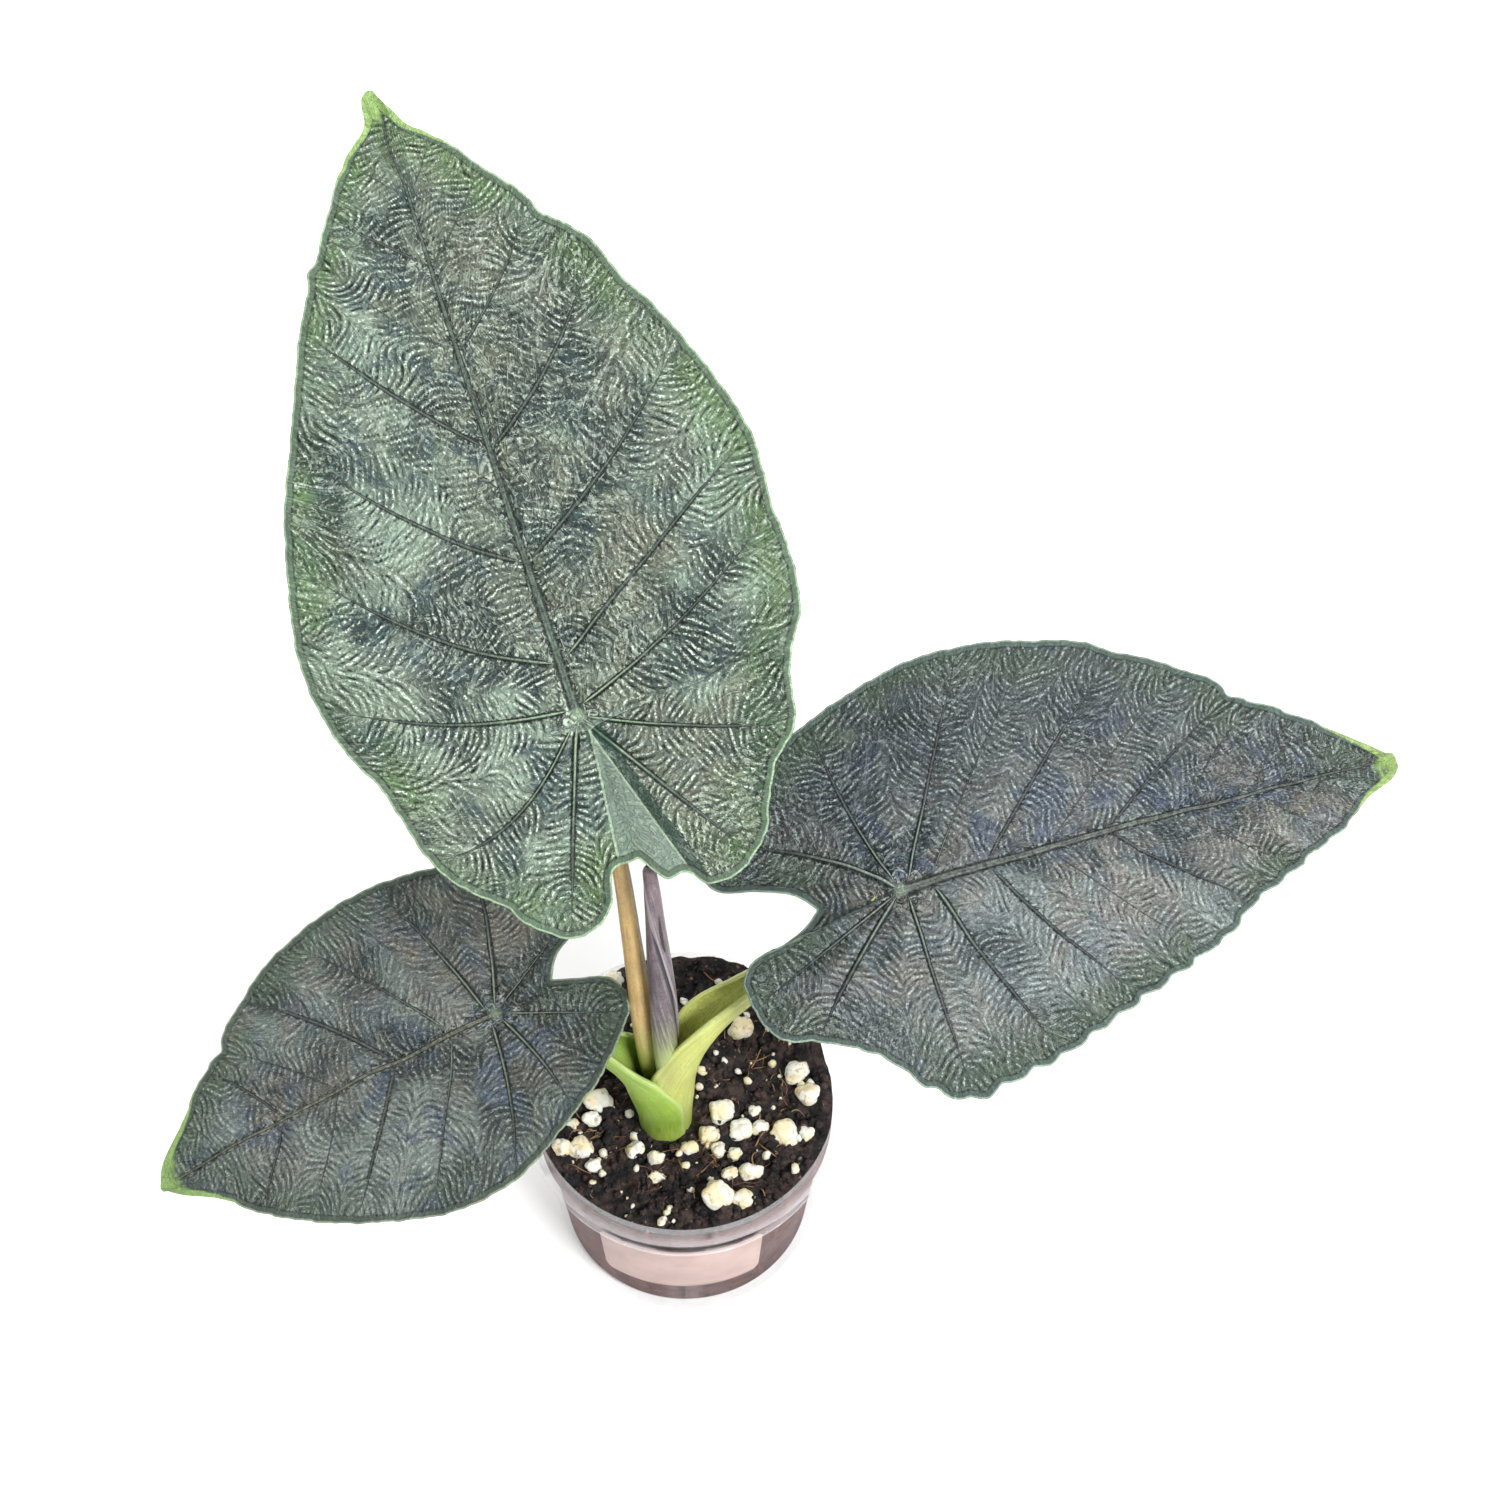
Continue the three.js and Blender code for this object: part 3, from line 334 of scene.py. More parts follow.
def weld():
    bpy.ops.mesh.remove_doubles(threshold=SEAM * MM)


def face_out():
    bpy.ops.mesh.select_all(action="SELECT")
    bpy.ops.mesh.normals_make_consistent(inside=False)


def apply(piece, kind, **settings):
    bpy.context.view_layer.objects.active = piece
    modifier = piece.modifiers.new(kind.title(), kind)
    for key, value in settings.items():
        setattr(modifier, key, value)
    bpy.ops.object.modifier_apply(modifier=modifier.name)


def smooth_shaded(piece):
    piece.data.polygons.foreach_set("use_smooth", [True] * len(piece.data.polygons))
    piece.data.update()


def close(piece):
    """Welds a laid tube along its seam and closes its open ends."""
    def ends():
        bpy.ops.mesh.select_all(action="DESELECT")
        bpy.ops.mesh.select_non_manifold()
        bpy.ops.mesh.fill_holes(sides=0)
    edit(piece, weld, ends, face_out)
    smooth_shaded(piece)
    return piece


def run_of(line):
    """How far along a line each of its points lies."""
    return np.concatenate([[0], np.cumsum(np.linalg.norm(np.diff(line, axis=0), axis=1))])


def course(stations, leaf, steps):
    """Centres, ways along and places in the list of stations, up to just inside the blade it carries."""
    points = [p[:3] if len(p) == 4 else p[0] for p in stations]
    last = len(stations) - 1
    if leaf:
        top = np.linspace(0, last, 600)[-120:]
        above = (spline(points, top) - np.array(leaf.at)) @ unit(leaf.faces)
        last = np.interp(-STALK_TOP_DEPTH, above, top)
    at = np.linspace(0, last, steps + 1)
    return spline(points, at), unit(spline(points, at + 0.01) - spline(points, at - 0.01)), at


def meet(points, along, leaf):
    """Trims a stalk's top, along its own way, to a plane inside the blade that it carries."""
    if not leaf:
        return points
    face = unit(leaf.faces)
    over = (points - np.array(leaf.at)) @ face + STALK_TOP_DEPTH
    trim = np.maximum(over, 0)
    trim[-1] = over[-1]
    return points - along[:, None] * (trim / (along @ face)[:, None])[..., None]


def fibre_places(centre, around):
    """Places on a stalk's skin, unrolled: the distance round it, and the distance along it."""
    return np.stack(np.broadcast_arrays(around, run_of(centre)[:, None], 0.0), -1)


def stalk(name, stations, leaf=None, steps=220, sides=40, wrap=0.0):
    """A round stalk. A wrapped one winds in by that share of its radius, so that its free edge stands out."""
    centre, along, at = course(stations, leaf, steps)
    radius = spline([p[3:] for p in stations], at, True)[:, 0]
    across = unit(np.array([1.0, 0, 0]) - along * along[:, :1])
    up = np.cross(along, across)
    share = np.linspace(0, 1, sides + 1)
    height = (at / at[-1])[:, None]
    angle = 2 * math.pi * share + (WRAP_START + WRAP_TURN * height if wrap else 0 * height)
    wound = radius[:, None] * (1 - wrap * smooth(0, 0.9, share))
    if wrap:
        wound = wound * (1 + 0.012 * np.sin(at * 5)[:, None] * np.sin(angle * 2))
    else:
        groove = bell((angle - 1.57 + math.pi) % (2 * math.pi) - math.pi, 0.5)
        wound = wound * (1 - 0.1 * groove + 0.025 * np.cos(5 * angle))
    points = centre[:, None] + across[:, None] * (wound * np.cos(angle))[..., None]
    points = meet(points + up[:, None] * (wound * np.sin(angle))[..., None], along, leaf)
    piece = sheet(name, points)
    note(
        piece, along=np.repeat(at / at[-1], sides + 1), edge=np.tile(bell(share, 0.03), steps + 1),
        # Fold marks the strip just inside a wrapped edge, where the material paints its shadow
        fold=np.tile(bell(1 - share, 0.045), steps + 1),
        grain=fibre_places(centre, share * 2 * math.pi * radius.mean()),
    )
    return close(piece)


def sheath(name, stations, leaf, steps=260, sides=44):
    """A stalk whose foot is an open sheath: an outer arc, the round tips of its wings, and the channel."""
    centre, along, at = course(stations, leaf, steps)
    outer, inner, shift, gap = spline([p[1:5] for p in stations], at, True).T[..., None]
    gap = np.radians(gap)
    mouth = spline([p[5] for p in stations], at, True)
    mouth = unit(mouth - along * np.sum(mouth * along, 1, keepdims=True))
    side = np.cross(along, mouth)
    turn = np.linspace(0, 1, sides + 1)
    angle = mix(gap, 2 * math.pi - gap, turn)
    wall = (outer * np.cos(angle), outer * np.sin(angle))
    channel = (shift + inner * np.cos(angle), inner * np.sin(angle))
    lean = (outer - inner) * 0.45 * (0.75 + 0.1 * np.sin(at * 3))[:, None]
    tips = []
    for k in (slice(-1, None), slice(0, 1)):
        x, y = ((wall[i][:, k] + channel[i][:, k]) / 2 for i in (0, 1))
        tips.append((x + lean * np.abs(np.sin(gap)), y * (1 - 0.1 * lean / outer)))
    parts = [wall, tips[0], [a[:, ::-1] for a in channel], tips[1], [a[:, :1] for a in wall]]
    x, y = (np.concatenate([p[i] for p in parts], 1) for i in (0, 1))
    points = meet(centre[:, None] + mouth[:, None] * x[..., None] + side[:, None] * y[..., None], along, leaf)
    piece = sheet(name, points)
    outside, within = (bell(turn, width) + bell(1 - turn, width) for width in (0.035, 0.05))
    girth = run_of(points[60])
    note(
        piece, along=np.repeat(at / at[-1], x.shape[1]),
        inside=np.tile(np.concatenate([0 * turn, [0.5], 0 * turn + 1, [0.5, 0]]), len(at)),
        edge=np.tile(np.concatenate([outside, [1], within, [1, 1]]), len(at)),
        grain=fibre_places(centre, girth),
    )
    return close(piece)


def lathe(name, profile):
    turn = np.linspace(0, 2 * math.pi, POT_SIDES + 1)
    r, z = np.array(profile, float).T[:, :, None]
    piece = sheet(name, np.stack([r * np.cos(turn), r * np.sin(turn), z + 0 * turn], -1))
    edit(piece, weld, face_out)
    return piece


def taper_radius(z):
    return mix(POT_BASE_RADIUS, TAPER_TOP_RADIUS, z / (COLLAR_FOOT - EDGE_ROUND * 2))


def pot():
    lip_foot = POT_HEIGHT - LIP_DEPTH
    ridge_foot = COLLAR_FOOT - EDGE_ROUND * 2
    mouth = POT_RIM_RADIUS - LIP_WIDTH
    cup = lathe("nursery_cup", [
        (0, 0), (POT_BASE_RADIUS, 0), (TAPER_TOP_RADIUS, ridge_foot),
        (COLLAR_RADIUS, ridge_foot + EDGE_ROUND), (COLLAR_RADIUS, lip_foot),
        (POT_RIM_RADIUS, lip_foot), (POT_RIM_RADIUS, POT_HEIGHT), (mouth, POT_HEIGHT),
        (COLLAR_RADIUS - POT_WALL, COLLAR_FOOT + EDGE_ROUND), (TAPER_TOP_RADIUS - POT_WALL, ridge_foot),
        (POT_BASE_RADIUS - POT_WALL, POT_FLOOR), (0, POT_FLOOR), (0, 0),
    ])
    for i in range(DRAIN_HOLES):
        turn = i / DRAIN_HOLES * 2 * math.pi + math.pi / 2
        bpy.ops.mesh.primitive_cylinder_add(
            vertices=32, radius=DRAIN_RADIUS * MM, depth=DRILL_DEPTH * MM,
            location=(DRAIN_CIRCLE * math.cos(turn) * MM, DRAIN_CIRCLE * math.sin(turn) * MM, 0),
        )
        drill = bpy.context.object
        apply(cup, "BOOLEAN", operation="DIFFERENCE", solver="EXACT", object=drill)
        bpy.data.objects.remove(drill)
    sharp = math.radians(32)
    apply(cup, "BEVEL", width=0.8 * EDGE_ROUND * MM, segments=3, limit_method="ANGLE", angle_limit=sharp)
    smooth_shaded(cup)
    return cup


def label():
    """The blank label: a thin patch with round corners that follows the wall."""
    x, z = np.meshgrid(np.linspace(-1, 1, 73), np.linspace(-1, 1, 17))
    wide = 1 - LABEL_CORNER * np.clip((np.abs(z) - 0.82) / 0.18, 0, 1) ** 3
    tall = 1 - 0.08 * np.clip((np.abs(x) - 0.965) / 0.035, 0, 1) ** 2
    turn = x * math.radians(LABEL_HALF_ANGLE) * wide - math.pi / 2
    high = LABEL_TOP - LABEL_HEIGHT / 2 + z * LABEL_HEIGHT / 2 * tall
    r = taper_radius(high) + LABEL_GAP
    piece = sheet("blank_label", np.stack([r * np.cos(turn), r * np.sin(turn), high], -1))
    if piece.data.polygons[0].normal.y > 0:
        edit(piece, bpy.ops.mesh.flip_normals)
    apply(piece, "SOLIDIFY", thickness=LABEL_THICKNESS * MM, offset=1)
    smooth_shaded(piece)
    return piece


def soil_level(x, y):
    heap = SOIL_HEAP * smooth(-2, 25, y - 0.2 * x)
    clods = np.sin(x * 0.9 + 1.3 * np.sin(y * 0.7)) * np.cos(y * 0.8 + np.sin(x * 0.5))
    return SOIL_EDGE_LEVEL + heap + SOIL_CLODS * clods


def lumps(points, size, depth, octaves=4):
    """Fractal lumps of a given size, for each of the points."""
    found = [noise.fractal(Vector(p) * (1 / size), 0.9, 2.1, octaves) for p in points.reshape(-1, 3)]
    return depth * np.array(found).reshape(points.shape[:-1])


def scatter(name, places, kinds=14):
    """Many small rough stones or crumbs, each with its place, sizes, turn, fineness and roughness."""
    made, balls = [], {}
    for i, (place, size, turn, detail, rough) in enumerate(places):
        kind = (detail, rough, i % kinds)
        if kind not in balls:
            bpy.ops.mesh.primitive_ico_sphere_add(subdivisions=detail, radius=0.5)
            balls[kind] = bpy.context.object
            seed = Vector((1.7, 2.9, 4.3)) * (1 + i % kinds)
            for v in balls[kind].data.vertices:
                v.co *= 1 + rough * noise.noise(v.co * 2 + seed) + 0.3 * rough * noise.noise(v.co * 6 + seed)
        lump = bpy.data.objects.new(name, balls[kind].data.copy())
        spin = Euler(turn).to_matrix().to_4x4()
        shape = Matrix.Diagonal((*(Vector(size) * MM), 1))
        lump.data.transform(Matrix.Translation(Vector(place) * MM) @ spin @ shape)
        bpy.context.collection.objects.link(lump)
        made.append(lump)
    for ball in balls.values():
        bpy.data.objects.remove(ball)
    return join(name, made)


def anywhere(draw, reach):
    """A place drawn evenly over a disc round the pot's axis."""
    out, turn = reach * math.sqrt(draw.random()), 2 * math.pi * draw.random()
    return out * math.cos(turn), out * math.sin(turn)


def potting_mix():
    """The heaped surface, down the wall and under, with crumbs lying on it."""
    inset = POT_WALL + 0.1
    wall = COLLAR_RADIUS - inset
    below = np.array([
        (wall, SOIL_EDGE_LEVEL - 1.5), (wall, COLLAR_FOOT + EDGE_ROUND),
        (TAPER_TOP_RADIUS - inset, COLLAR_FOOT - 1), (POT_BASE_RADIUS - inset, POT_FLOOR + SEAT),
        (0, POT_FLOOR + SEAT),
    ])
    radii = np.concatenate([np.linspace(0, wall, SOIL_RINGS), below[:, 0]])
    turn = np.linspace(0, 2 * math.pi, SOIL_SIDES + 1)
    x, y = radii[:, None] * np.cos(turn), radii[:, None] * np.sin(turn)
    z = soil_level(x, y)
    top = np.stack([x, y, z], -1)[:SOIL_RINGS]
    z[:SOIL_RINGS] += lumps(top, 3.2, 0.75) + lumps(top + 40, 1.1, 0.28, 3)
    z[:SOIL_RINGS] -= 0.5 * smooth(wall - 2.5, wall, np.hypot(x, y))[:SOIL_RINGS]
    z[SOIL_RINGS:] = below[:, 1:]
    piece = sheet("potting_mix", np.stack([x, y, z], -1))
    note(piece, pressed=np.repeat(np.arange(len(radii)) >= SOIL_RINGS, len(turn)))
    edit(piece, weld, face_out)
    smooth_shaded(piece)
    draw = np.random.default_rng(CRUMB_SEED)
    places = []
    while len(places) < CRUMBS:
        x, y = anywhere(draw, CRUMB_REACH)
        if math.dist((x, y), FOOT) > STEM_RADIUS:
            size = 0.5 + 1.5 * draw.random() ** 3
            shape = size * (0.7 + 0.6 * draw.random(3))
            place = (x, y, float(soil_level(x, y)) + 0.25 * size)
            places.append((place, shape, 6.3 * draw.random(3), 1, 0.5))
    return join("potting_mix", [piece, scatter("crumbs", places)])


def perlite():
    draw = np.random.default_rng(GRAIN_SEED)
    places = []
    for x, y, across, tall in GRAINS:
        shape = np.array([across * 1.08, across * (0.85 + 0.2 * draw.random()), tall])
        place = (x, y, float(soil_level(x, y)) + tall * 0.2)
        places.append((place, shape, 0.5 * draw.random(3), 4, 0.42))
    while len(places) < len(GRAINS) + SMALL_GRAINS:
        x, y = anywhere(draw, GRAIN_REACH)
        size = 0.6 + 1.5 * draw.random() ** 2
        if math.dist((x, y), FOOT) > STEM_RADIUS + size / 2:
            shape = size * (0.75 + 0.5 * draw.random(3))
            place = (x, y, float(soil_level(x, y)) + 0.3 * size)
            places.append((place, shape, 6.3 * draw.random(3), 2, 0.4))
    piece = scatter("perlite_grains", places)
    smooth_shaded(piece)
    return piece


def fibres():
    """Peat fibres and bits of root that lie curled on the surface."""
    draw = np.random.default_rng(FIBRE_SEED)
    made = []
    t = np.linspace(0, 1, FIBRE_STEPS)
    around = np.linspace(0, 2 * math.pi, 6)[None, :, None]
    while len(made) < FIBRES:
        x, y = anywhere(draw, FIBRE_REACH)
        way, bend = 6.3 * draw.random(), draw.normal() * 0.5
        long, thick = 2 + 6 * draw.random() ** 2, 0.07 + 0.1 * draw.random()
        if math.dist((x, y), FOOT) < STEM_RADIUS + 1:
            continue
        heading = way + bend * t * 2
        run = long / FIBRE_STEPS * np.cumsum([np.cos(heading), np.sin(heading)], 1)
        path = np.stack([x + run[0], y + run[1], 0 * t], -1)
        out = np.maximum(np.hypot(path[:, 0], path[:, 1]), 1e-6)
        path *= np.minimum(1, (FIBRE_REACH + 1.2) / out)[:, None]
        path[:, 2] = soil_level(path[:, 0], path[:, 1]) + 0.55
        path[:, 2] += 1.1 * draw.random() * np.sin(math.pi * t) ** 2
        along = unit(np.gradient(path, axis=0))
        side = unit(np.cross(along, (0, 0, 1.0)))
        up = np.cross(side, along)
        wide = (thick * (1 - 0.6 * t))[:, None, None]
        ring = side[:, None] * np.cos(around) + up[:, None] * np.sin(around)
        made.append(sheet("fibre", path[:, None] + wide * ring))
    return close(join("peat_fibres", made))


def vein_ends(half):
    """The places in a half margin where side veins end."""
    return [i for i, p in enumerate(half) if len(p) > 2]


def spokes(leaf):
    """Each spoke's place in the list of veins, its root on the midrib, and its place between two veins.

    The spokes fill the blade from the tip to the cleft, and both halves have the same roots.
    """
    roots = [leaf.right[i][2] for i in vein_ends(leaf.right)]
    share, root, place = [], [], []
    for v in range(len(roots) - 1):
        gaps = [roots[v] - roots[v + 1]]
        for half in (leaf.left, leaf.right):
            first, last = vein_ends(half)[v:v + 2]
            gaps.append(run_of(np.array([p[:2] for p in half[first:last + 1]]))[-1])
        count = max(3, round(max(gaps) / leaf.column))
        steps = np.arange(count + (v == len(roots) - 2)) / count
        share.append(v + steps)
        root.append(mix(roots[v], roots[v + 1], steps))
        place.append(steps)
    return [np.concatenate(a) for a in (share, root, place)]


def lay(rings, end, root, bow):
    """The flat places of spokes from root to end, ring by ring."""
    t = (np.arange(rings + 1)[:, None] / rings) ** SPOKE_CROWDING
    return np.stack([end[:, 0] * t, mix(root, end[:, 1], t) - bow * 4 * t * (1 - t)], -1), t


def waved(leaf, side, end):
    """A half margin with its small waves, its teeth and its blunt tip."""
    arc = run_of(end)
    wobble = np.sin(arc * 0.9 + side) + np.sin(arc * 1.7 + 2 * side) + 0.5 * np.sin(arc * 3.3 + 3 * side)
    wobble = MARGIN_WOBBLE * wobble * smooth(6, 14, arc)
    if side == 1:
        teeth = np.abs(np.cos(math.pi * arc / TOOTH_LENGTH)) ** 3
        wobble = wobble + leaf.frill * teeth * smooth(8, 24, arc) * smooth(128, 112, arc)
    end = end * (1 - wobble * smooth(arc[-1], arc[-1] - 8, arc) / np.linalg.norm(end, axis=1))[:, None]
    below = leaf.right[0][1] - end[:, 1]
    cap = leaf.cap * np.sqrt(np.clip(1 - (1 - np.clip(below / leaf.cap, 0, 1)) ** 2, 0, 1))
    end[:, 0] = np.where(below < 6, np.sign(side - 0.5) * np.maximum(np.abs(end[:, 0]), cap), end[:, 0])
    return end


def half_blade(leaf, side, share, root, place):
    """One half, ring by ring from the midrib: its flat places, height and marks, and how its ripples run."""
    half = (leaf.left, leaf.right)[side]
    line = np.array([p[:2] for p in half], float)
    ends = vein_ends(half)
    shows, bows = np.array([(*half[i], 1, 0)[3:5] for i in ends], float).T
    shows[[0, -1]] = 0
    count = np.arange(len(ends))
    end = waved(leaf, side, spline(line, np.interp(share, count, ends)))
    reach = np.hypot(end[:, 0], end[:, 1] - root)
    flat, t = lay(leaf.rings, end, root, np.interp(share, count, bows))
    x, y = flat[..., 0], flat[..., 1]
    veins, _ = lay(leaf.rings, spline(line, ends), np.array([half[i][2] for i in ends]), bows)
    low = np.clip(np.floor(share).astype(int), 0, len(ends) - 2)
    width = np.linalg.norm(veins[:, low + 1] - veins[:, low], axis=-1) + 1e-6
    # The surface swells between the veins and waves at the margin, and the midrib lies in a groove
    between = np.sin(math.pi * place) ** 2
    body = np.sin(math.pi * np.minimum(1, t * 1.08)) ** 0.8
    lift = leaf.swell * (between - 0.35) * body - leaf.wave * smooth(0.6, 1, t) * (0.5 - between)
    arch = np.where(y > 0, leaf.arch * y * (1 - y / leaf.length), leaf.arch * y - LOBE_SAG * y * y)
    fold = leaf.fold * np.abs(x) - leaf.droop * x * x
    # The web between the basal lobes is sunk, with a sharp fold on each side
    beyond_left, before_right = x - 1.5 - 0.12 * y, -0.32 * y - x
    web = leaf.web * smooth(0, 0.8, beyond_left) * smooth(-2.4, 0.2, before_right) * smooth(3, 12, -y)
    height = arch + fold - web + smooth(2, 16, reach) * lift - MIDRIB_GROOVE * bell(x, GROOVE_HALF_WIDTH)
    behind = smooth(0.5, 3, -y)
    # How far each point is from the nearest side vein, but not from the tip's and the cleft's own spokes
    off = [np.where(shows[low + k] > 0, width * np.abs(place - k), FAR) for k in (0, 1)]
    strong = np.where(off[0] < off[1], shows[low], shows[low + 1])
    near = np.minimum(*off)
    fade = smooth(1, 0.6, t) * smooth(2, 8, reach) * strong * smooth(0.4, 4, reach * t)
    breadth = mix(0.36, 0.18, t)
    # The net's grain: how far out and how far across, bowed outwards between the veins
    run = reach * t - width * np.minimum(place, 1 - place) * mix(0.4, 2.2, smooth(0.5, 1.05, t))
    over = np.concatenate([0 * t, np.cumsum(np.linalg.norm(np.diff(flat, axis=1), axis=-1), axis=1)], 1)
    # Ripples cross the spokes, and lean outwards towards each vein
    out = unit(np.gradient(flat, axis=0) + 1e-9)
    cross = np.stack([-out[..., 1], out[..., 0]], -1)
    cross *= np.sign(np.sum(cross * np.gradient(flat, axis=1), -1, keepdims=True))
    lean = np.cos(math.pi * place)
    lean = np.sign(lean) * np.abs(lean) ** 0.6 * (2.6 - 2.1 * smooth(0.55, 1, t))
    way = unit(out + lean[..., None] * cross)
    level = (bell(x, 9) * smooth(2, 12, root))[..., None]
    flip = np.sign(way[..., :1]) + (way[..., :1] == 0)
    return {
        "flat": flat, "height": height, "ways": way * flip * (1 - level) + np.array([1.0, 0.0]) * level,
        "sure": mix(0.86, 0.97, smooth(0.45, 0.75, t)) * np.ones_like(x),
        "vein": bell(near, breadth * 0.6) * fade,
        "groove": bell(near - breadth * 1.3, breadth * 0.6) * fade,
        "off": near / (fade + 0.02) / (breadth / 0.5),
        "grain": np.stack([run, over, np.tanh(x)], -1),
        "web": np.stack([mix(9, beyond_left, behind), mix(9, before_right, behind), behind], -1),
    }


def ripple_field(points, ways, certain, seed):
    """Low ridges a set distance apart that follow the given ways, and two soft clouds, for each place."""
    low = points.reshape(-1, 2).min(0) - 3
    high = points.reshape(-1, 2).max(0) + 3
    size = np.ceil((high - low) / RIPPLE_PITCH).astype(int)
    cell = np.clip(((points - low) / RIPPLE_PITCH).astype(int), 0, size - 1).reshape(-1, 2)
    fx, fy = np.meshgrid(np.fft.rfftfreq(size[1]), np.fft.fftfreq(size[0]))
    draw = np.random.default_rng(seed)

    def soften(raster, length):
        blur = np.exp(-2 * (math.pi * length / RIPPLE_PITCH) ** 2 * (fx**2 + fy**2))
        return np.fft.irfft2(np.fft.rfft2(raster) * blur, s=size)

    def cloud(length):
        raster = soften(draw.standard_normal(size), length)
        return raster / raster.std()

    def spread(values):
        raster = np.zeros(size)
        np.add.at(raster, (cell[:, 0], cell[:, 1]), values.ravel())
        return soften(raster, 1.3)

    angle = np.arctan2(ways[..., 1], ways[..., 0])
    count = spread(np.ones(angle.shape)) + 1e-9
    way = 0.5 * np.arctan2(spread(np.sin(2 * angle)), spread(np.cos(2 * angle)))
    way = way + RIPPLE_WANDER * cloud(1.4)
    loose = np.clip(1.05 - spread(certain) / count + 0.2 * cloud(2.6), 0, 0.45)
    pitch = RIPPLE_PITCH / RIPPLE_SPACING
    field = draw.standard_normal(size)
    for _ in range(RIPPLE_ROUNDS):
        spectrum = np.fft.rfft2(field)
        total = np.zeros(size)
        for k in range(RIPPLE_TURNS):
            a = math.pi * k / RIPPLE_TURNS
            across = (fx * math.cos(a) - fy * math.sin(a)) / pitch
            along = (fy * math.cos(a) + fx * math.sin(a)) / pitch
            gain = np.exp(-((np.abs(across) - 1) ** 2) / 0.3 - along**2 / 0.14)
            gap = np.abs((way - a + math.pi / 2) % math.pi - math.pi / 2)
            share = mix(np.clip(1 - gap * RIPPLE_TURNS / math.pi, 0, 1), 1 / RIPPLE_TURNS, loose)
            total += share * np.fft.irfft2(spectrum * gain, s=size)
        field = np.tanh(1.1 * total / total.std()) + 0.35 * draw.standard_normal(size)
    # Nearly the same strength everywhere
    field = total / (0.55 * np.sqrt(np.maximum(soften(total**2, 1.8), 0)) + 0.45 * total.std())
    place = (points - low) / RIPPLE_PITCH - 0.5
    corner = np.clip(np.floor(place).astype(int), 0, size - 2)
    i, j = corner[..., 0], corner[..., 1]
    u, v = np.moveaxis(place - corner, -1, 0)
    return [
        mix(mix(raster[i, j], raster[i, j + 1], v), mix(raster[i + 1, j], raster[i + 1, j + 1], v), u)
        for raster in (field, cloud(2.4), cloud(5.5))
    ]


def to_margin(flat, margin):
    """How far each flat point is from the nearest place on the margin."""
    at = np.linspace(0, len(margin) - 1, len(margin) * 6)
    ends = [np.interp(at, np.arange(len(margin)), margin[:, k]) for k in (0, 1)]
    tree = kdtree.KDTree(len(at))
    for i, (x, y) in enumerate(zip(*ends)):
        tree.insert((x, y, 0), i)
    tree.balance()
    return np.array([tree.find((x, y, 0))[2] for x, y in flat.reshape(-1, 2)]).reshape(flat.shape[:-1])


def thicken(piece, thick, face):
    """Gives a laid blade its thickness, downwards from its upper face, and thins out the lower faces."""
    whole = thick.max()
    group = piece.vertex_groups.new(name="thickness")
    for i, share in enumerate((thick / whole).ravel()):
        group.add([i], float(share), "REPLACE")
    edit(piece, weld)
    piece.vertex_groups.new(name="underside")
    # The upper face has to look up before it is given its thickness
    normal = sum((p.normal * p.area for p in piece.data.polygons), Vector())
    if normal.dot(Vector(face)) < 0:
        edit(piece, bpy.ops.mesh.flip_normals)
    apply(
        piece, "SOLIDIFY", thickness=whole * MM, offset=-1, vertex_group="thickness", material_offset=1,
        material_offset_rim=0, shell_vertex_group="underside",
    )
    apply(piece, "SMOOTH", factor=0.5, iterations=14, vertex_group="underside")
    apply(piece, "DECIMATE", ratio=UNDERSIDE_SHARE, vertex_group="underside")
    smooth_shaded(piece)


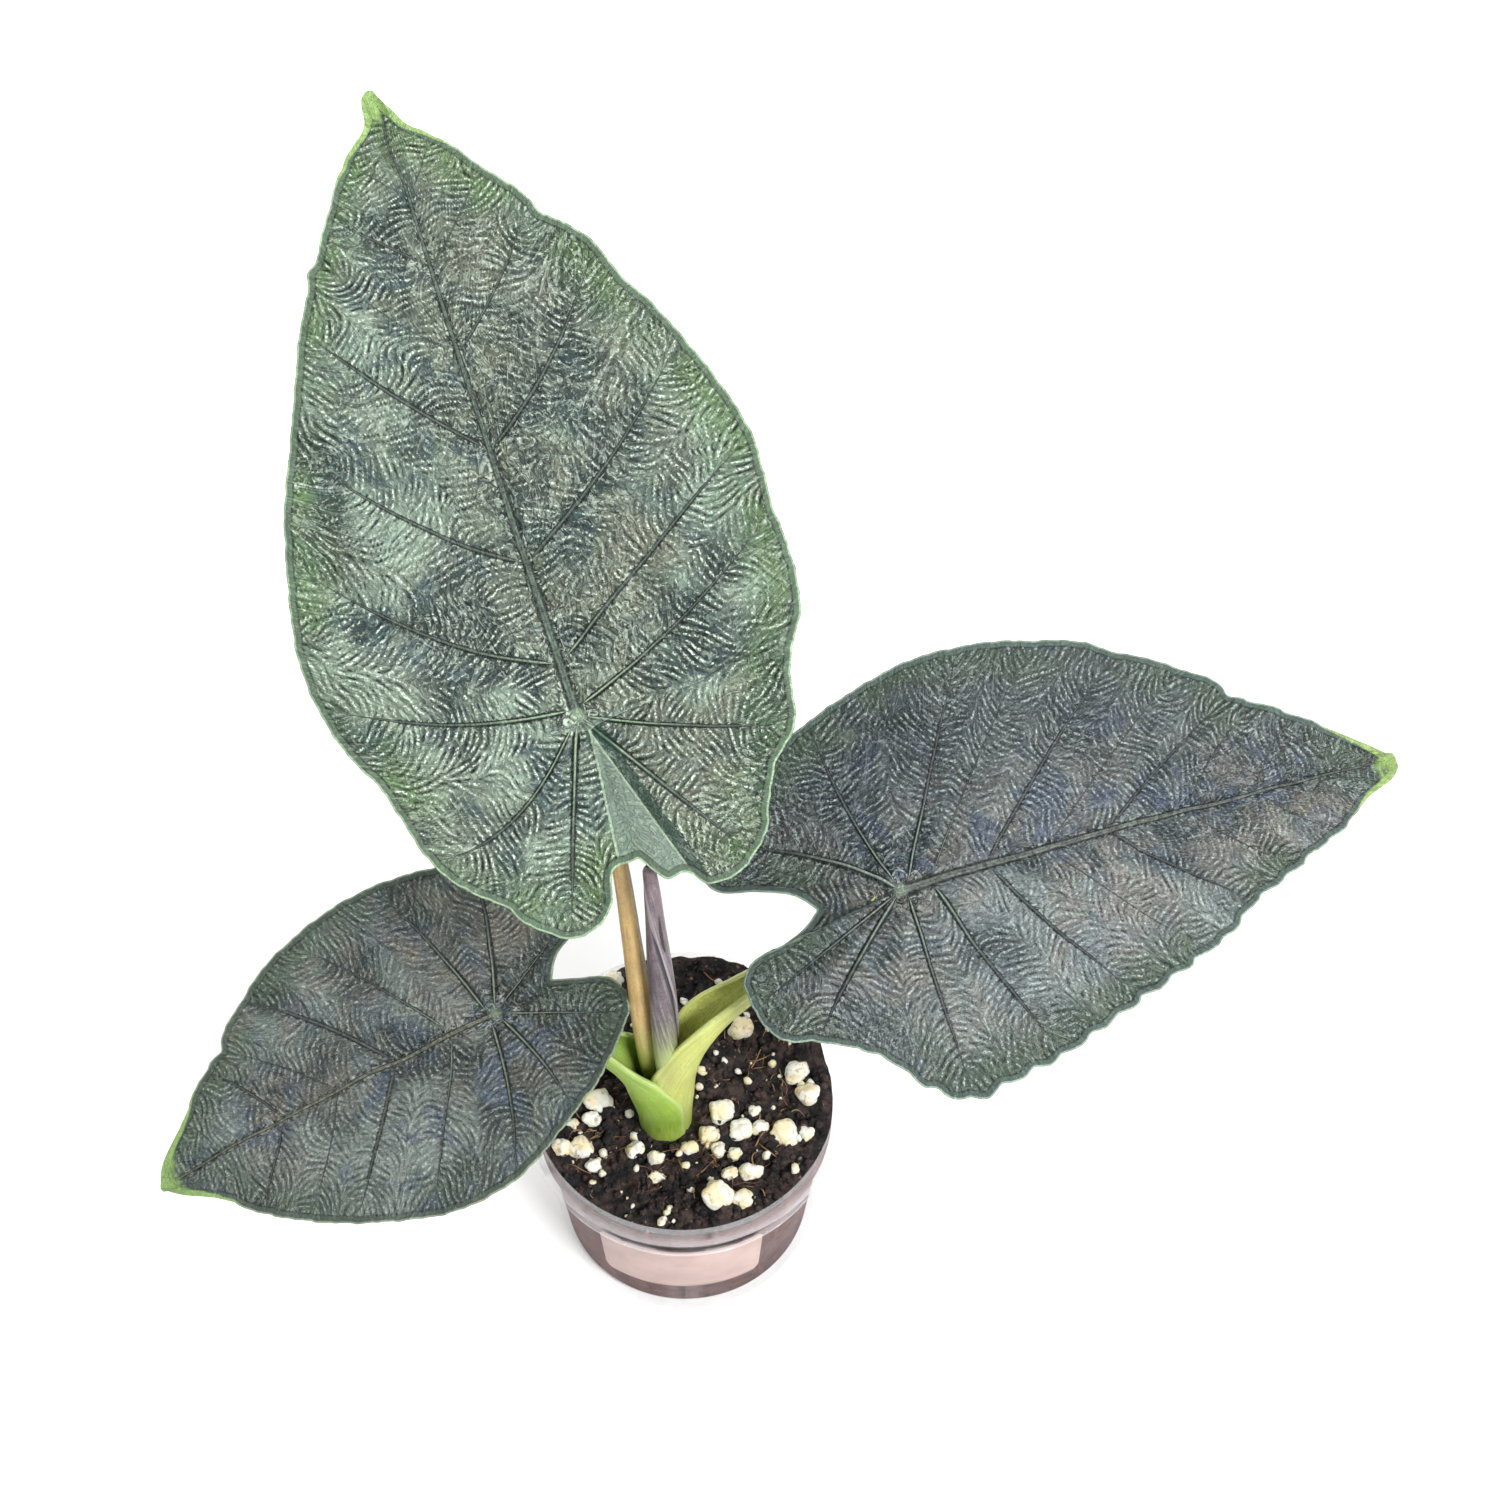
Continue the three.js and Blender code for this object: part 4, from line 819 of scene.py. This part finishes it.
def blade(name, leaf, *looks):
    """One blade: rows from the left margin over the midrib to the right one, columns from tip to cleft."""
    halves = [half_blade(leaf, side, *spokes(leaf)) for side in (0, 1)]
    marks = {key: np.concatenate([halves[0][key][::-1], halves[1][key][1:]]) for key in halves[0]}
    flat, height, ways, sure = (marks.pop(key) for key in ("flat", "height", "ways", "sure"))
    x, y = flat[..., 0], flat[..., 1]
    rim = to_margin(flat, np.concatenate([flat[0], flat[-1][::-1]]))
    heart = np.hypot(x, y)
    tip_at = leaf.right[0][1]
    ripple, lump, lull = ripple_field(flat, ways, sure, leaf.seed)
    # The midrib and the dark lines along it
    up = np.clip(y / leaf.length, 0, 1)
    midrib = smooth(leaf.length, leaf.length * 0.75, y) * smooth(-1, 3, y)
    taper = mix(1.15, 0.35, up)
    vein = np.maximum(marks["vein"], bell(x, 0.45 * taper) * midrib)
    ditch = bell(np.abs(x) - 0.85 * taper, 0.32 * taper)
    groove = np.maximum(marks.pop("groove") * (1 - bell(x, 1.4 * taper) * midrib), ditch * midrib)
    # The ripples die away at the veins, the margin and the heart, here and there, and on the web
    calm = (1 - 0.85 * np.maximum(vein, groove)) * smooth(0.3, 1.6, rim)
    calm *= mix(0.35, 1, smooth(1, 7, heart)) * mix(0.75, 1.1, smooth(-1.2, 0.6, lull))
    if leaf.web:
        left, right, behind = np.moveaxis(marks["web"], -1, 0)
        calm *= 1 - smooth(-0.2, 0.4, left) * smooth(-2.6, -2, right) * behind
    waves = 0.6 * np.tanh(ripple) - smooth(-0.3, -1.3, ripple)
    height = height + leaf.ripple * waves * calm + 0.2 * vein - 0.3 * groove
    pucker = lump + 0.8 * lull
    hollow = smooth(9, 2.5, np.abs(x)) * smooth(0, 12, y) * smooth(leaf.length, leaf.length * 0.6, y)
    level = smooth(0.5, 5, rim) * smooth(1.5, 6, heart)
    height = height + PUCKER_HEIGHT * pucker * level * mix(1, 1.7, hollow)
    height = height + 0.14 * bell(rim - 0.5, 0.45)
    face = unit(leaf.faces)
    tip = np.array(leaf.to_tip, float)
    tip = unit(tip - face * tip.dot(face))
    aside = x + leaf.hook * smooth(0.85 * leaf.length, leaf.length, y) + leaf.lean * bell(tip_at - y - 5, 4)
    points = aside[..., None] * np.cross(tip, face) + y[..., None] * tip + height[..., None] * face
    piece = sheet(name, points + np.array(leaf.at))
    for look in looks:
        piece.data.materials.append(look)
    marks.update(vein=vein, rim=rim, midrib=x / mix(leaf.midrib, 0.16, up**0.8))
    note(piece, ripple=ripple * calm, calm=calm, lump=pucker, length=y, heart=heart, side=x, **marks)
    keel = MIDRIB_KEEL * bell(x, MIDRIB_HALF_WIDTH) * smooth(tip_at, tip_at * 0.5, y) * smooth(-2.5, 0.5, y)
    thicken(piece, mix(EDGE_THICKNESS, BLADE_THICKNESS, smooth(0, 2.5, rim)) + keel, face)
    return piece


class Look:
    """A node material that is put together layer by layer over a first colour."""

    def __init__(self, name, colour, **values):
        self.material = bpy.data.materials.new(name)
        self.material.use_nodes = True
        self.tree = self.material.node_tree
        self.shader = self.tree.nodes["Principled BSDF"]
        self.colour = colour
        for key, value in values.items():
            self.shader.inputs[key.replace("_", " ")].default_value = value
        self.place = self.node("TexCoord", {}).outputs["Object"]

    def node(self, kind, values, **settings):
        """A node whose sockets take a link where the value is another node's, and otherwise the value."""
        node = self.tree.nodes.new("ShaderNode" + kind)
        for key, value in settings.items():
            setattr(node, key, value)
        for key, value in values.items():
            if isinstance(value, bpy.types.NodeSocket):
                self.tree.links.new(value, node.inputs[key])
            else:
                node.inputs[key].default_value = value
        return node

    def put(self, key, source):
        self.tree.links.new(source, self.shader.inputs[key])

    def attribute(self, name):
        return self.node("Attribute", {}, attribute_name=name).outputs["Fac"]

    def spot(self, name, stretch):
        """A place written on the mesh, each of its three numbers divided by a length in millimetres."""
        place = self.node("Attribute", {}, attribute_name=name).outputs["Vector"]
        scale = [1 / length for length in stretch]
        return self.node("VectorMath", {0: place, 1: scale}, operation="MULTIPLY").outputs[0]

    def noise(self, size, detail=3, roughness=0.5, distortion=0.0, spot=None):
        """Noise of a size in millimetres, or of one unit where it follows a spot."""
        return self.node("TexNoise", {
            "Vector": spot or self.place, "Scale": 1 if spot else 1 / (size * MM), "Detail": detail,
            "Roughness": roughness, "Distortion": distortion,
        }).outputs["Fac"]

    def span(self, source, lo, hi, bottom=0.0, top=1.0):
        ends = {"Value": source, "From Min": lo, "From Max": hi, "To Min": bottom, "To Max": top}
        return self.node("MapRange", ends, interpolation_type="SMOOTHSTEP").outputs["Result"]

    def patches(self, grain, *ends):
        return self.span(self.noise(*grain), *ends)

    def math(self, kind, *values):
        return self.node("Math", dict(enumerate(values)), operation=kind).outputs[0]

    def plus(self, a, b):
        return self.math("ADD", a, b)

    def times(self, share, *others):
        for other in others:
            share = self.math("MULTIPLY", share, other)
        return share

    def blend(self, under, colour, *shares):
        """One colour over another, as strongly as its shares multiplied."""
        under, colour = ((*c, 1) if isinstance(c, tuple) else c for c in (under, colour))
        return self.node("Mix", {0: self.times(*shares), 6: under, 7: colour}, data_type="RGBA").outputs[2]

    def over(self, colour, *shares):
        """Lays a colour over all that is there."""
        self.colour = self.blend(self.colour, colour, *shares)

    def done(self, relief=None, depth=0.0):
        """The finished material, with a relief of that many millimetres as bump."""
        self.put("Base Color", self.colour)
        if relief:
            bump = self.node("Bump", {"Height": relief, "Distance": depth * MM, "Strength": 1.0})
            self.put("Normal", bump.outputs["Normal"])
        return self.material


def blade_look(
    name, dark, mid, painted_highlight, green, tinge, blue, band, rim, rib, tip, tip_at, shade=0, net=1, cut=1, web=None
):
    """A blade's upper face: shade is painted shade on its left and painted light on its right, net the net's
    size, cut the ripples' strength.
    """
    look = Look(name, dark, Roughness=0.32, Specular_IOR_Level=0.4, Sheen_Weight=0.03, Sheen_Roughness=0.4)
    over, span, patches, times, plus = look.over, look.span, look.patches, look.times, look.plus
    lump, side, edge, ripple, vein, heart, length = map(
        look.attribute, ("lump", "side", "rim", "ripple", "off", "heart", "length")
    )
    painted_light = tuple(c * 1.5 for c in mid)
    deep = tuple(c * 0.2 for c in dark)
    # Soft patches of three tones: the mid tone at random, painted light on the raised puckers and painted shade
    # in the sunk ones, with a warm and a cold tinge here and there
    over(mid, patches((13, 3, 0.6, 0.5), 0.4, 0.62))
    over(painted_light, span(lump, -0.3, 2, 0, 0.8))
    over(dark, span(lump, -0.2, -1.6, 0, 0.75))
    over(tinge, patches((13, 2, 0.5, 0.5), 0.4, 0.62, 0, 0.85), span(side, -12, 10, 0.4, 1))
    over(blue, patches((8, 2, 0.5, 0.5), 0.47, 0.64, 0, 0.85), span(side, 12, -8, 0.45, 1))
    # Painted shade on the left half and painted light on the right half, as light falls across the blade
    over(dark, span(side, 8, -24, 0, shade))
    over(painted_light, span(side, 0, 26, 0, 0.6 * shade))
    over(green, span(edge, 11, 1, 0, 0.9), patches((15, 2), 0.4, 0.56, 0.25, 1))
    # Fine net: thin wandering lines of painted shade, as in grooves, each with a painted highlight on one
    # flank, that show most where the ripples are weak
    calm = span(look.attribute("calm"), 1, 0.4, 0.3, 1)
    relief = look.noise(0.42, 3, 0.65)
    for lines in (
        look.noise(1, 2, 0.5, 0.9, look.spot("grain", (1.7 * net, 4.8 * net, 1))),
        look.noise(2 * net, 2, 0.5, 1.6),
    ):
        away = look.math("SUBTRACT", lines, 0.5)
        line = span(look.math("ABSOLUTE", away), 0.065, 0.018)
        flank = times(
            span(away, 0.02, 0.06), span(away, 0.16, 0.09), patches((1.1, 2, 0.5), 0.35, 0.6, 0.2, 1)
        )
        over(painted_highlight, flank, times(calm, 0.5))
        over(deep, line, times(calm, 0.85))
        relief = plus(relief, times(look.math("SUBTRACT", flank, line), 0.6))
    # Ripples: painted highlights as pale flecks on the crests, and painted shade in the troughs, torn by two
    # noises
    over(painted_highlight, span(ripple, 0.05, 0.95, 0, 0.95 * cut), patches((0.45, 3, 0.7), 0.48, 0.6, 0.05, 1))
    torn = patches((0.9, 2, 0.5, 0.5), 0.36, 0.56, 0.25 * cut, cut)
    torn = times(torn, patches((3.6, 2, 0.5, 0.5), 0.38, 0.58, 0.45, 1))
    over(deep, span(ripple, -0.3, -0.95, 0, 0.95), torn)
    relief = plus(relief, span(ripple, -1.2, 1.2, -0.2, 0.2))
    # Veins: a paler crest between two dark lines
    broken = patches((1.2, 2), 0.3, 0.5, 0.7, 1)
    over(deep, span(vein, 0.9, 0.6, 0, 0.95), broken)
    over(mid, span(vein, 0.36, 0.18, 0, 0.45))
    over(rim, span(vein, 0.3, 0.1), span(heart, 22, 4, 0, 0.6))
    middle = look.math("ABSOLUTE", look.attribute("midrib"))
    above = span(length, -0.5, 1.5)
    over(deep, span(middle, 1.5, 0.9, 0, 0.85), above)
    over(rib, span(middle, 0.75, 0.45), times(patches((0.8, 3, 0.6), 0.35, 0.6, 0.3, 0.9), above))
    over(deep, span(middle, 0.16, 0.04, 0, 0.4), above)
    if web:
        # The web: smooth, and edged by a pale line on each fold, with painted shade on the steep wall up to the
        # right lobe
        flat, wall, seam = web
        left, right, behind = look.node("SeparateXYZ", {0: look.spot("web", (1, 1, 1))}).outputs
        over(wall, span(right, 0.1, -0.3), span(right, -2.5, -1.7), times(behind, 0.7))
        over(flat, span(left, 0, 0.4), span(right, -0.1, 0.3), times(behind, 0.75))
        for fold in (left, right):
            over(seam, span(look.math("ABSOLUTE", fold), 0.26, 0.1, 0, 0.8), behind)
    # Margin: a pale band, a dark line inside it, and a bright edge
    over(deep, span(edge, 1.5, 1.25, 0, 0.6))
    over(band, span(edge, 1.2, 1.0, 0, 0.75))
    over(rim, span(edge, 0.4, 0.2, 0, 0.85), broken)
    over(rim, span(heart, 1.6, 0.5, 0, 0.4))
    end = plus(plus(length, patches((2.5, 2), 0.3, 0.7, -1, 1)), span(edge, 1.4, 0.2, 0, 9))
    over(tip, span(end, *tip_at))
    return look.done(relief, 0.18)


def under_look(name, flesh, net, fold):
    look = Look(name, flesh, Roughness=0.6)
    look.over(net, look.patches((14, 2), 0.35, 0.65))
    look.over((0.42, 0.46, 0.24), look.span(look.attribute("vein"), 0.2, 0.9, 0, 0.8))
    # Painted shade in the fold behind the heart, as dark as the upper face there
    near = look.span(look.math("ABSOLUTE", look.attribute("side")), 3, 1.8, 0, fold)
    look.over((0.03, 0.045, 0.043), near, look.span(look.attribute("length"), 0.5, -1.5))
    return look.done(look.noise(0.5, 3, 0.6), 0.04)


def studio():
    bpy.ops.object.select_all(action="DESELECT")
    bpy.ops.mesh.primitive_plane_add(size=FLOOR_SIZE, location=(0, 0, 0))
    floor = bpy.context.object
    floor.name = "studio_floor"
    look = Look("studio_floor", (0.96, 0.96, 0.96), Roughness=0.9)
    look.over((0.98, 0.98, 0.98), look.noise(300, 1))
    floor.data.materials.append(look.done())
    world = bpy.data.worlds.new("studio")
    world.use_nodes = True
    world.node_tree.nodes["Background"].inputs["Color"].default_value = (1, 1, 1, 1)
    world.node_tree.nodes["Background"].inputs["Strength"].default_value = DAYLIGHT
    bpy.context.scene.world = world
    for name, at, size, power in LIGHTS:
        light = bpy.data.objects.new(name, bpy.data.lights.new(name, "AREA"))
        light.data.size = size
        light.data.energy = power
        light.location = at
        light.rotation_euler = (Vector(LIT_SPOT) - Vector(at)).to_track_quat("-Z", "Y").to_euler()
        bpy.context.collection.objects.link(light)


def camera():
    data = bpy.data.cameras.new("camera")
    data.lens = CAMERA_LENS
    data.sensor_width = CAMERA_SENSOR
    data.clip_start = 0.01
    view = bpy.data.objects.new("camera", data)
    lean = Matrix.Rotation(math.radians(90 - CAMERA_DOWN), 4, "X")
    roll = Matrix.Rotation(math.radians(CAMERA_ROLL), 4, "Z")
    view.matrix_basis = Matrix.Translation(Vector(CAMERA_AT) * MM) @ lean @ roll
    bpy.context.collection.objects.link(view)
    bpy.context.scene.camera = view
    bpy.context.scene.view_settings.view_transform = "Standard"


def stalk_look(name, foot, body, top, fleck, edge, inside=None, foot_to=0.2):
    look = Look(name, body, Roughness=0.34, Subsurface_Weight=0.12, Subsurface_Scale=0.0015)
    along = look.attribute("along")
    look.over(top, look.span(along, 0.45, 1))
    if inside:
        look.over(inside, look.attribute("inside"))
    streak = look.noise(1, 4, 0.6, 0.3, look.spot("grain", (0.35, 7, 1)))
    look.over(fleck, look.span(streak, 0.45, 0.7, 0, 0.6))
    look.over(edge, look.span(streak, 0.5, 0.3, 0, 0.45))
    look.over(fleck, look.patches((0.5, 3, 0.7), 0.52, 0.66, 0, 0.6))
    look.over(fleck, look.patches((4, 2), 0.4, 0.7, 0, 0.4))
    # Painted shadow under the wrapped edge of the rolled new leaf, just inside its step; on a stalk that is not
    # wrapped, a dark line along one side
    look.over(tuple(c * 0.25 for c in fleck), look.span(look.attribute("fold"), 0.1, 0.55, 0, 0.9))
    fade = look.plus(along, look.span(streak, 0.3, 0.7, -0.04, 0.04))
    look.over(foot, look.span(fade, foot_to, foot_to - 0.14))
    look.over(edge, look.span(look.attribute("edge"), 0.2, 0.9, 0, 0.8))
    return look.done(look.plus(look.noise(0.4, 3, 0.6), streak), 0.1)


def cup_look():
    """Thin clear plastic: what is behind it shows through the wall, the thicker lip turns milky, and a milky
    band on the ridge is a painted highlight.
    """
    look = Look("clear_cup", (0.86, 0.84, 0.87), Roughness=0.1, IOR=1.46, Specular_IOR_Level=0.7)
    up = look.node("SeparateXYZ", {0: look.place}).outputs["Z"]
    haze = look.patches((7, 3, 0.6), 0.35, 0.65, 0, 0.04)
    lip = (POT_HEIGHT - LIP_DEPTH) * MM
    body = look.span(up, lip - 0.3 * MM, lip + 0.3 * MM, 0.03, 0.17)
    # A painted highlight: a milky band along the ridge at the collar's foot
    ridge = look.math("ABSOLUTE", look.math("SUBTRACT", up, (COLLAR_FOOT - EDGE_ROUND) * MM))
    body = look.plus(body, look.span(ridge, 0.9 * MM, 0.4 * MM, 0, 0.22))
    look.put("Alpha", look.plus(body, haze))
    look.over((0.95, 0.94, 0.96), haze)
    return look.done(look.noise(4, 2), 0.08)


def label_look():
    look = Look("label_paper", (0.42, 0.3, 0.275), Roughness=0.55)
    look.over((0.5, 0.37, 0.34), look.patches((6, 3), 0.3, 0.7))
    return look.done(look.noise(0.3, 3, 0.6), 0.01)


def peat_look():
    look = Look("peat", (0.003, 0.0025, 0.004), Roughness=0.8)
    look.over((0.055, 0.033, 0.029), look.patches((3.2, 4, 0.65), 0.42, 0.62))
    look.over((0.14, 0.08, 0.05), look.patches((0.5, 3, 0.6), 0.6, 0.74, 0, 0.7))
    look.over((0.3, 0.2, 0.12), look.patches((1.3, 2), 0.67, 0.72, 0, 0.7))
    # What is pressed against the cup's wall is redder
    red = look.blend((0.075, 0.02, 0.016), (0.17, 0.052, 0.042), look.patches((1.7, 4, 0.7), 0.35, 0.65))
    look.over(red, look.span(look.attribute("pressed"), 0.3, 0.9))
    return look.done(look.noise(0.45, 4, 0.75), 0.35)


def perlite_look():
    look = Look("perlite", (0.8, 0.78, 0.71), Roughness=0.75, Subsurface_Weight=0.15, Subsurface_Scale=0.001)
    look.over((0.76, 0.66, 0.43), look.patches((3.4, 3, 0.6), 0.42, 0.6))
    look.over((0.4, 0.28, 0.16), look.patches((1.2, 3, 0.6, 0.5), 0.56, 0.67, 0, 0.7))
    look.over((0.16, 0.12, 0.09), look.patches((0.5, 3, 0.6), 0.64, 0.72, 0, 0.7))
    return look.done(look.noise(0.35, 3, 0.6), 0.12)


def fibre_look():
    look = Look("fibre", (0.09, 0.035, 0.02), Roughness=0.7)
    look.over((0.3, 0.17, 0.08), look.patches((3, 2), 0.4, 0.6))
    return look.done()


def root_look():
    look = Look("root", (0.5, 0.4, 0.24), Roughness=0.7)
    look.over((0.68, 0.6, 0.4), look.patches((2, 4, 0.6), 0.35, 0.65))
    return look.done(look.noise(0.5, 3, 0.6), 0.1)


def fit(piece, node, *looks, replaces=True):
    """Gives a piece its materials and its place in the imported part."""
    for look in looks:
        piece.data.materials.append(look)
    if replaces:
        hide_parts(node)
    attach(piece, "root")


camera()
studio()
fit(pot(), "pot", cup_look())
fit(label(), "pot_label", label_look())
fit(potting_mix(), "soil", peat_look())
fit(perlite(), "soil", perlite_look(), replaces=False)
fit(fibres(), "soil", fibre_look(), replaces=False)
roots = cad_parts["rhizome_and_roots"]
roots.material_slots[0].material = root_look()
fit(
    stalk("large_stalk", LARGE_STALK, LEAVES["large"]), "stalk_large",
    stalk_look(
        "large_stalk", foot=(0.4, 0.46, 0.1), body=(0.54, 0.37, 0.13), top=(0.5, 0.34, 0.13),
        fleck=(0.3, 0.2, 0.1), edge=(0.55, 0.45, 0.24), foot_to=0.46,
    ),
)
fit(
    stalk("rolled_new_leaf", NEW_LEAF, steps=240, sides=72, wrap=WRAP_STEP), "new_leaf_rolled",
    stalk_look(
        "rolled_new_leaf", foot=(0.3, 0.36, 0.12), body=(0.13, 0.105, 0.12), top=(0.22, 0.15, 0.17),
        fleck=(0.04, 0.035, 0.04), edge=(0.34, 0.3, 0.32), foot_to=0.46,
    ),
)
fit(
    sheath("right_stalk", RIGHT_STALK, LEAVES["right"]), "stalk_right",
    stalk_look(
        "right_stalk", foot=(0.37, 0.45, 0.09), body=(0.43, 0.47, 0.12), top=(0.48, 0.52, 0.16),
        # The channel's inside is painted light: coloured lighter than the outside, so that it looks lit where
        # it lies in shade
        fleck=(0.32, 0.33, 0.1), edge=(0.58, 0.64, 0.22), inside=(0.66, 0.72, 0.2),
    ),
)
fit(
    sheath("left_stalk", LEFT_STALK, LEAVES["left"]), "stalk_left",
    stalk_look(
        "left_stalk", foot=(0.36, 0.47, 0.09), body=(0.25, 0.38, 0.045), top=(0.22, 0.32, 0.055),
        fleck=(0.17, 0.29, 0.035), edge=(0.38, 0.5, 0.15), inside=(0.26, 0.37, 0.07),
    ),
)
UPPER = {
    "large": blade_look(
        "large_blade", dark=(0.016, 0.036, 0.032), mid=(0.17, 0.235, 0.18), painted_highlight=(0.72, 0.84, 0.7),
        green=(0.1, 0.19, 0.06), tinge=(0.15, 0.165, 0.115), blue=(0.03, 0.065, 0.075),
        band=(0.12, 0.19, 0.12), rim=(0.46, 0.64, 0.4), rib=(0.14, 0.2, 0.15), tip=(0.3, 0.47, 0.15),
        tip_at=(101.5, 104.5),
        # The web's flat colour, the painted shade on the wall up to the right lobe, and the fold lines' colour
        web=((0.24, 0.32, 0.255), (0.02, 0.06, 0.04), (0.45, 0.58, 0.42)),
    ),
    "right": blade_look(
        "right_blade", dark=(0.018, 0.03, 0.036), mid=(0.15, 0.18, 0.175), painted_highlight=(0.52, 0.6, 0.58),
        green=(0.06, 0.1, 0.055), tinge=(0.235, 0.2, 0.17), blue=(0.065, 0.095, 0.165),
        band=(0.1, 0.15, 0.13), rim=(0.42, 0.54, 0.42), rib=(0.2, 0.23, 0.2), tip=(0.31, 0.45, 0.15),
        tip_at=(90.5, 93.5), shade=0.75, net=0.8, cut=0.85,
    ),
    "left": blade_look(
        "left_blade", dark=(0.018, 0.029, 0.03), mid=(0.125, 0.155, 0.142), painted_highlight=(0.43, 0.47, 0.42),
        green=(0.05, 0.09, 0.05), tinge=(0.135, 0.115, 0.09), blue=(0.05, 0.078, 0.12),
        band=(0.07, 0.1, 0.075), rim=(0.3, 0.38, 0.26), rib=(0.2, 0.21, 0.14), tip=(0.24, 0.38, 0.12),
        tip_at=(61, 64.5), net=0.75, cut=0.7,
    ),
}
# Fold is how strongly painted shade darkens the fold behind the heart
UNDER = {
    "large": under_look("large_underside", (0.13, 0.19, 0.12), (0.19, 0.24, 0.15), fold=0),
    "right": under_look("right_underside", (0.12, 0.165, 0.12), (0.17, 0.21, 0.15), fold=1),
    "left": under_look("left_underside", (0.11, 0.15, 0.11), (0.16, 0.19, 0.14), fold=1),
}
for name in LEAVES:
    fit(blade("leaf_blade_" + name, LEAVES[name], UPPER[name], UNDER[name]), "blade_" + name)
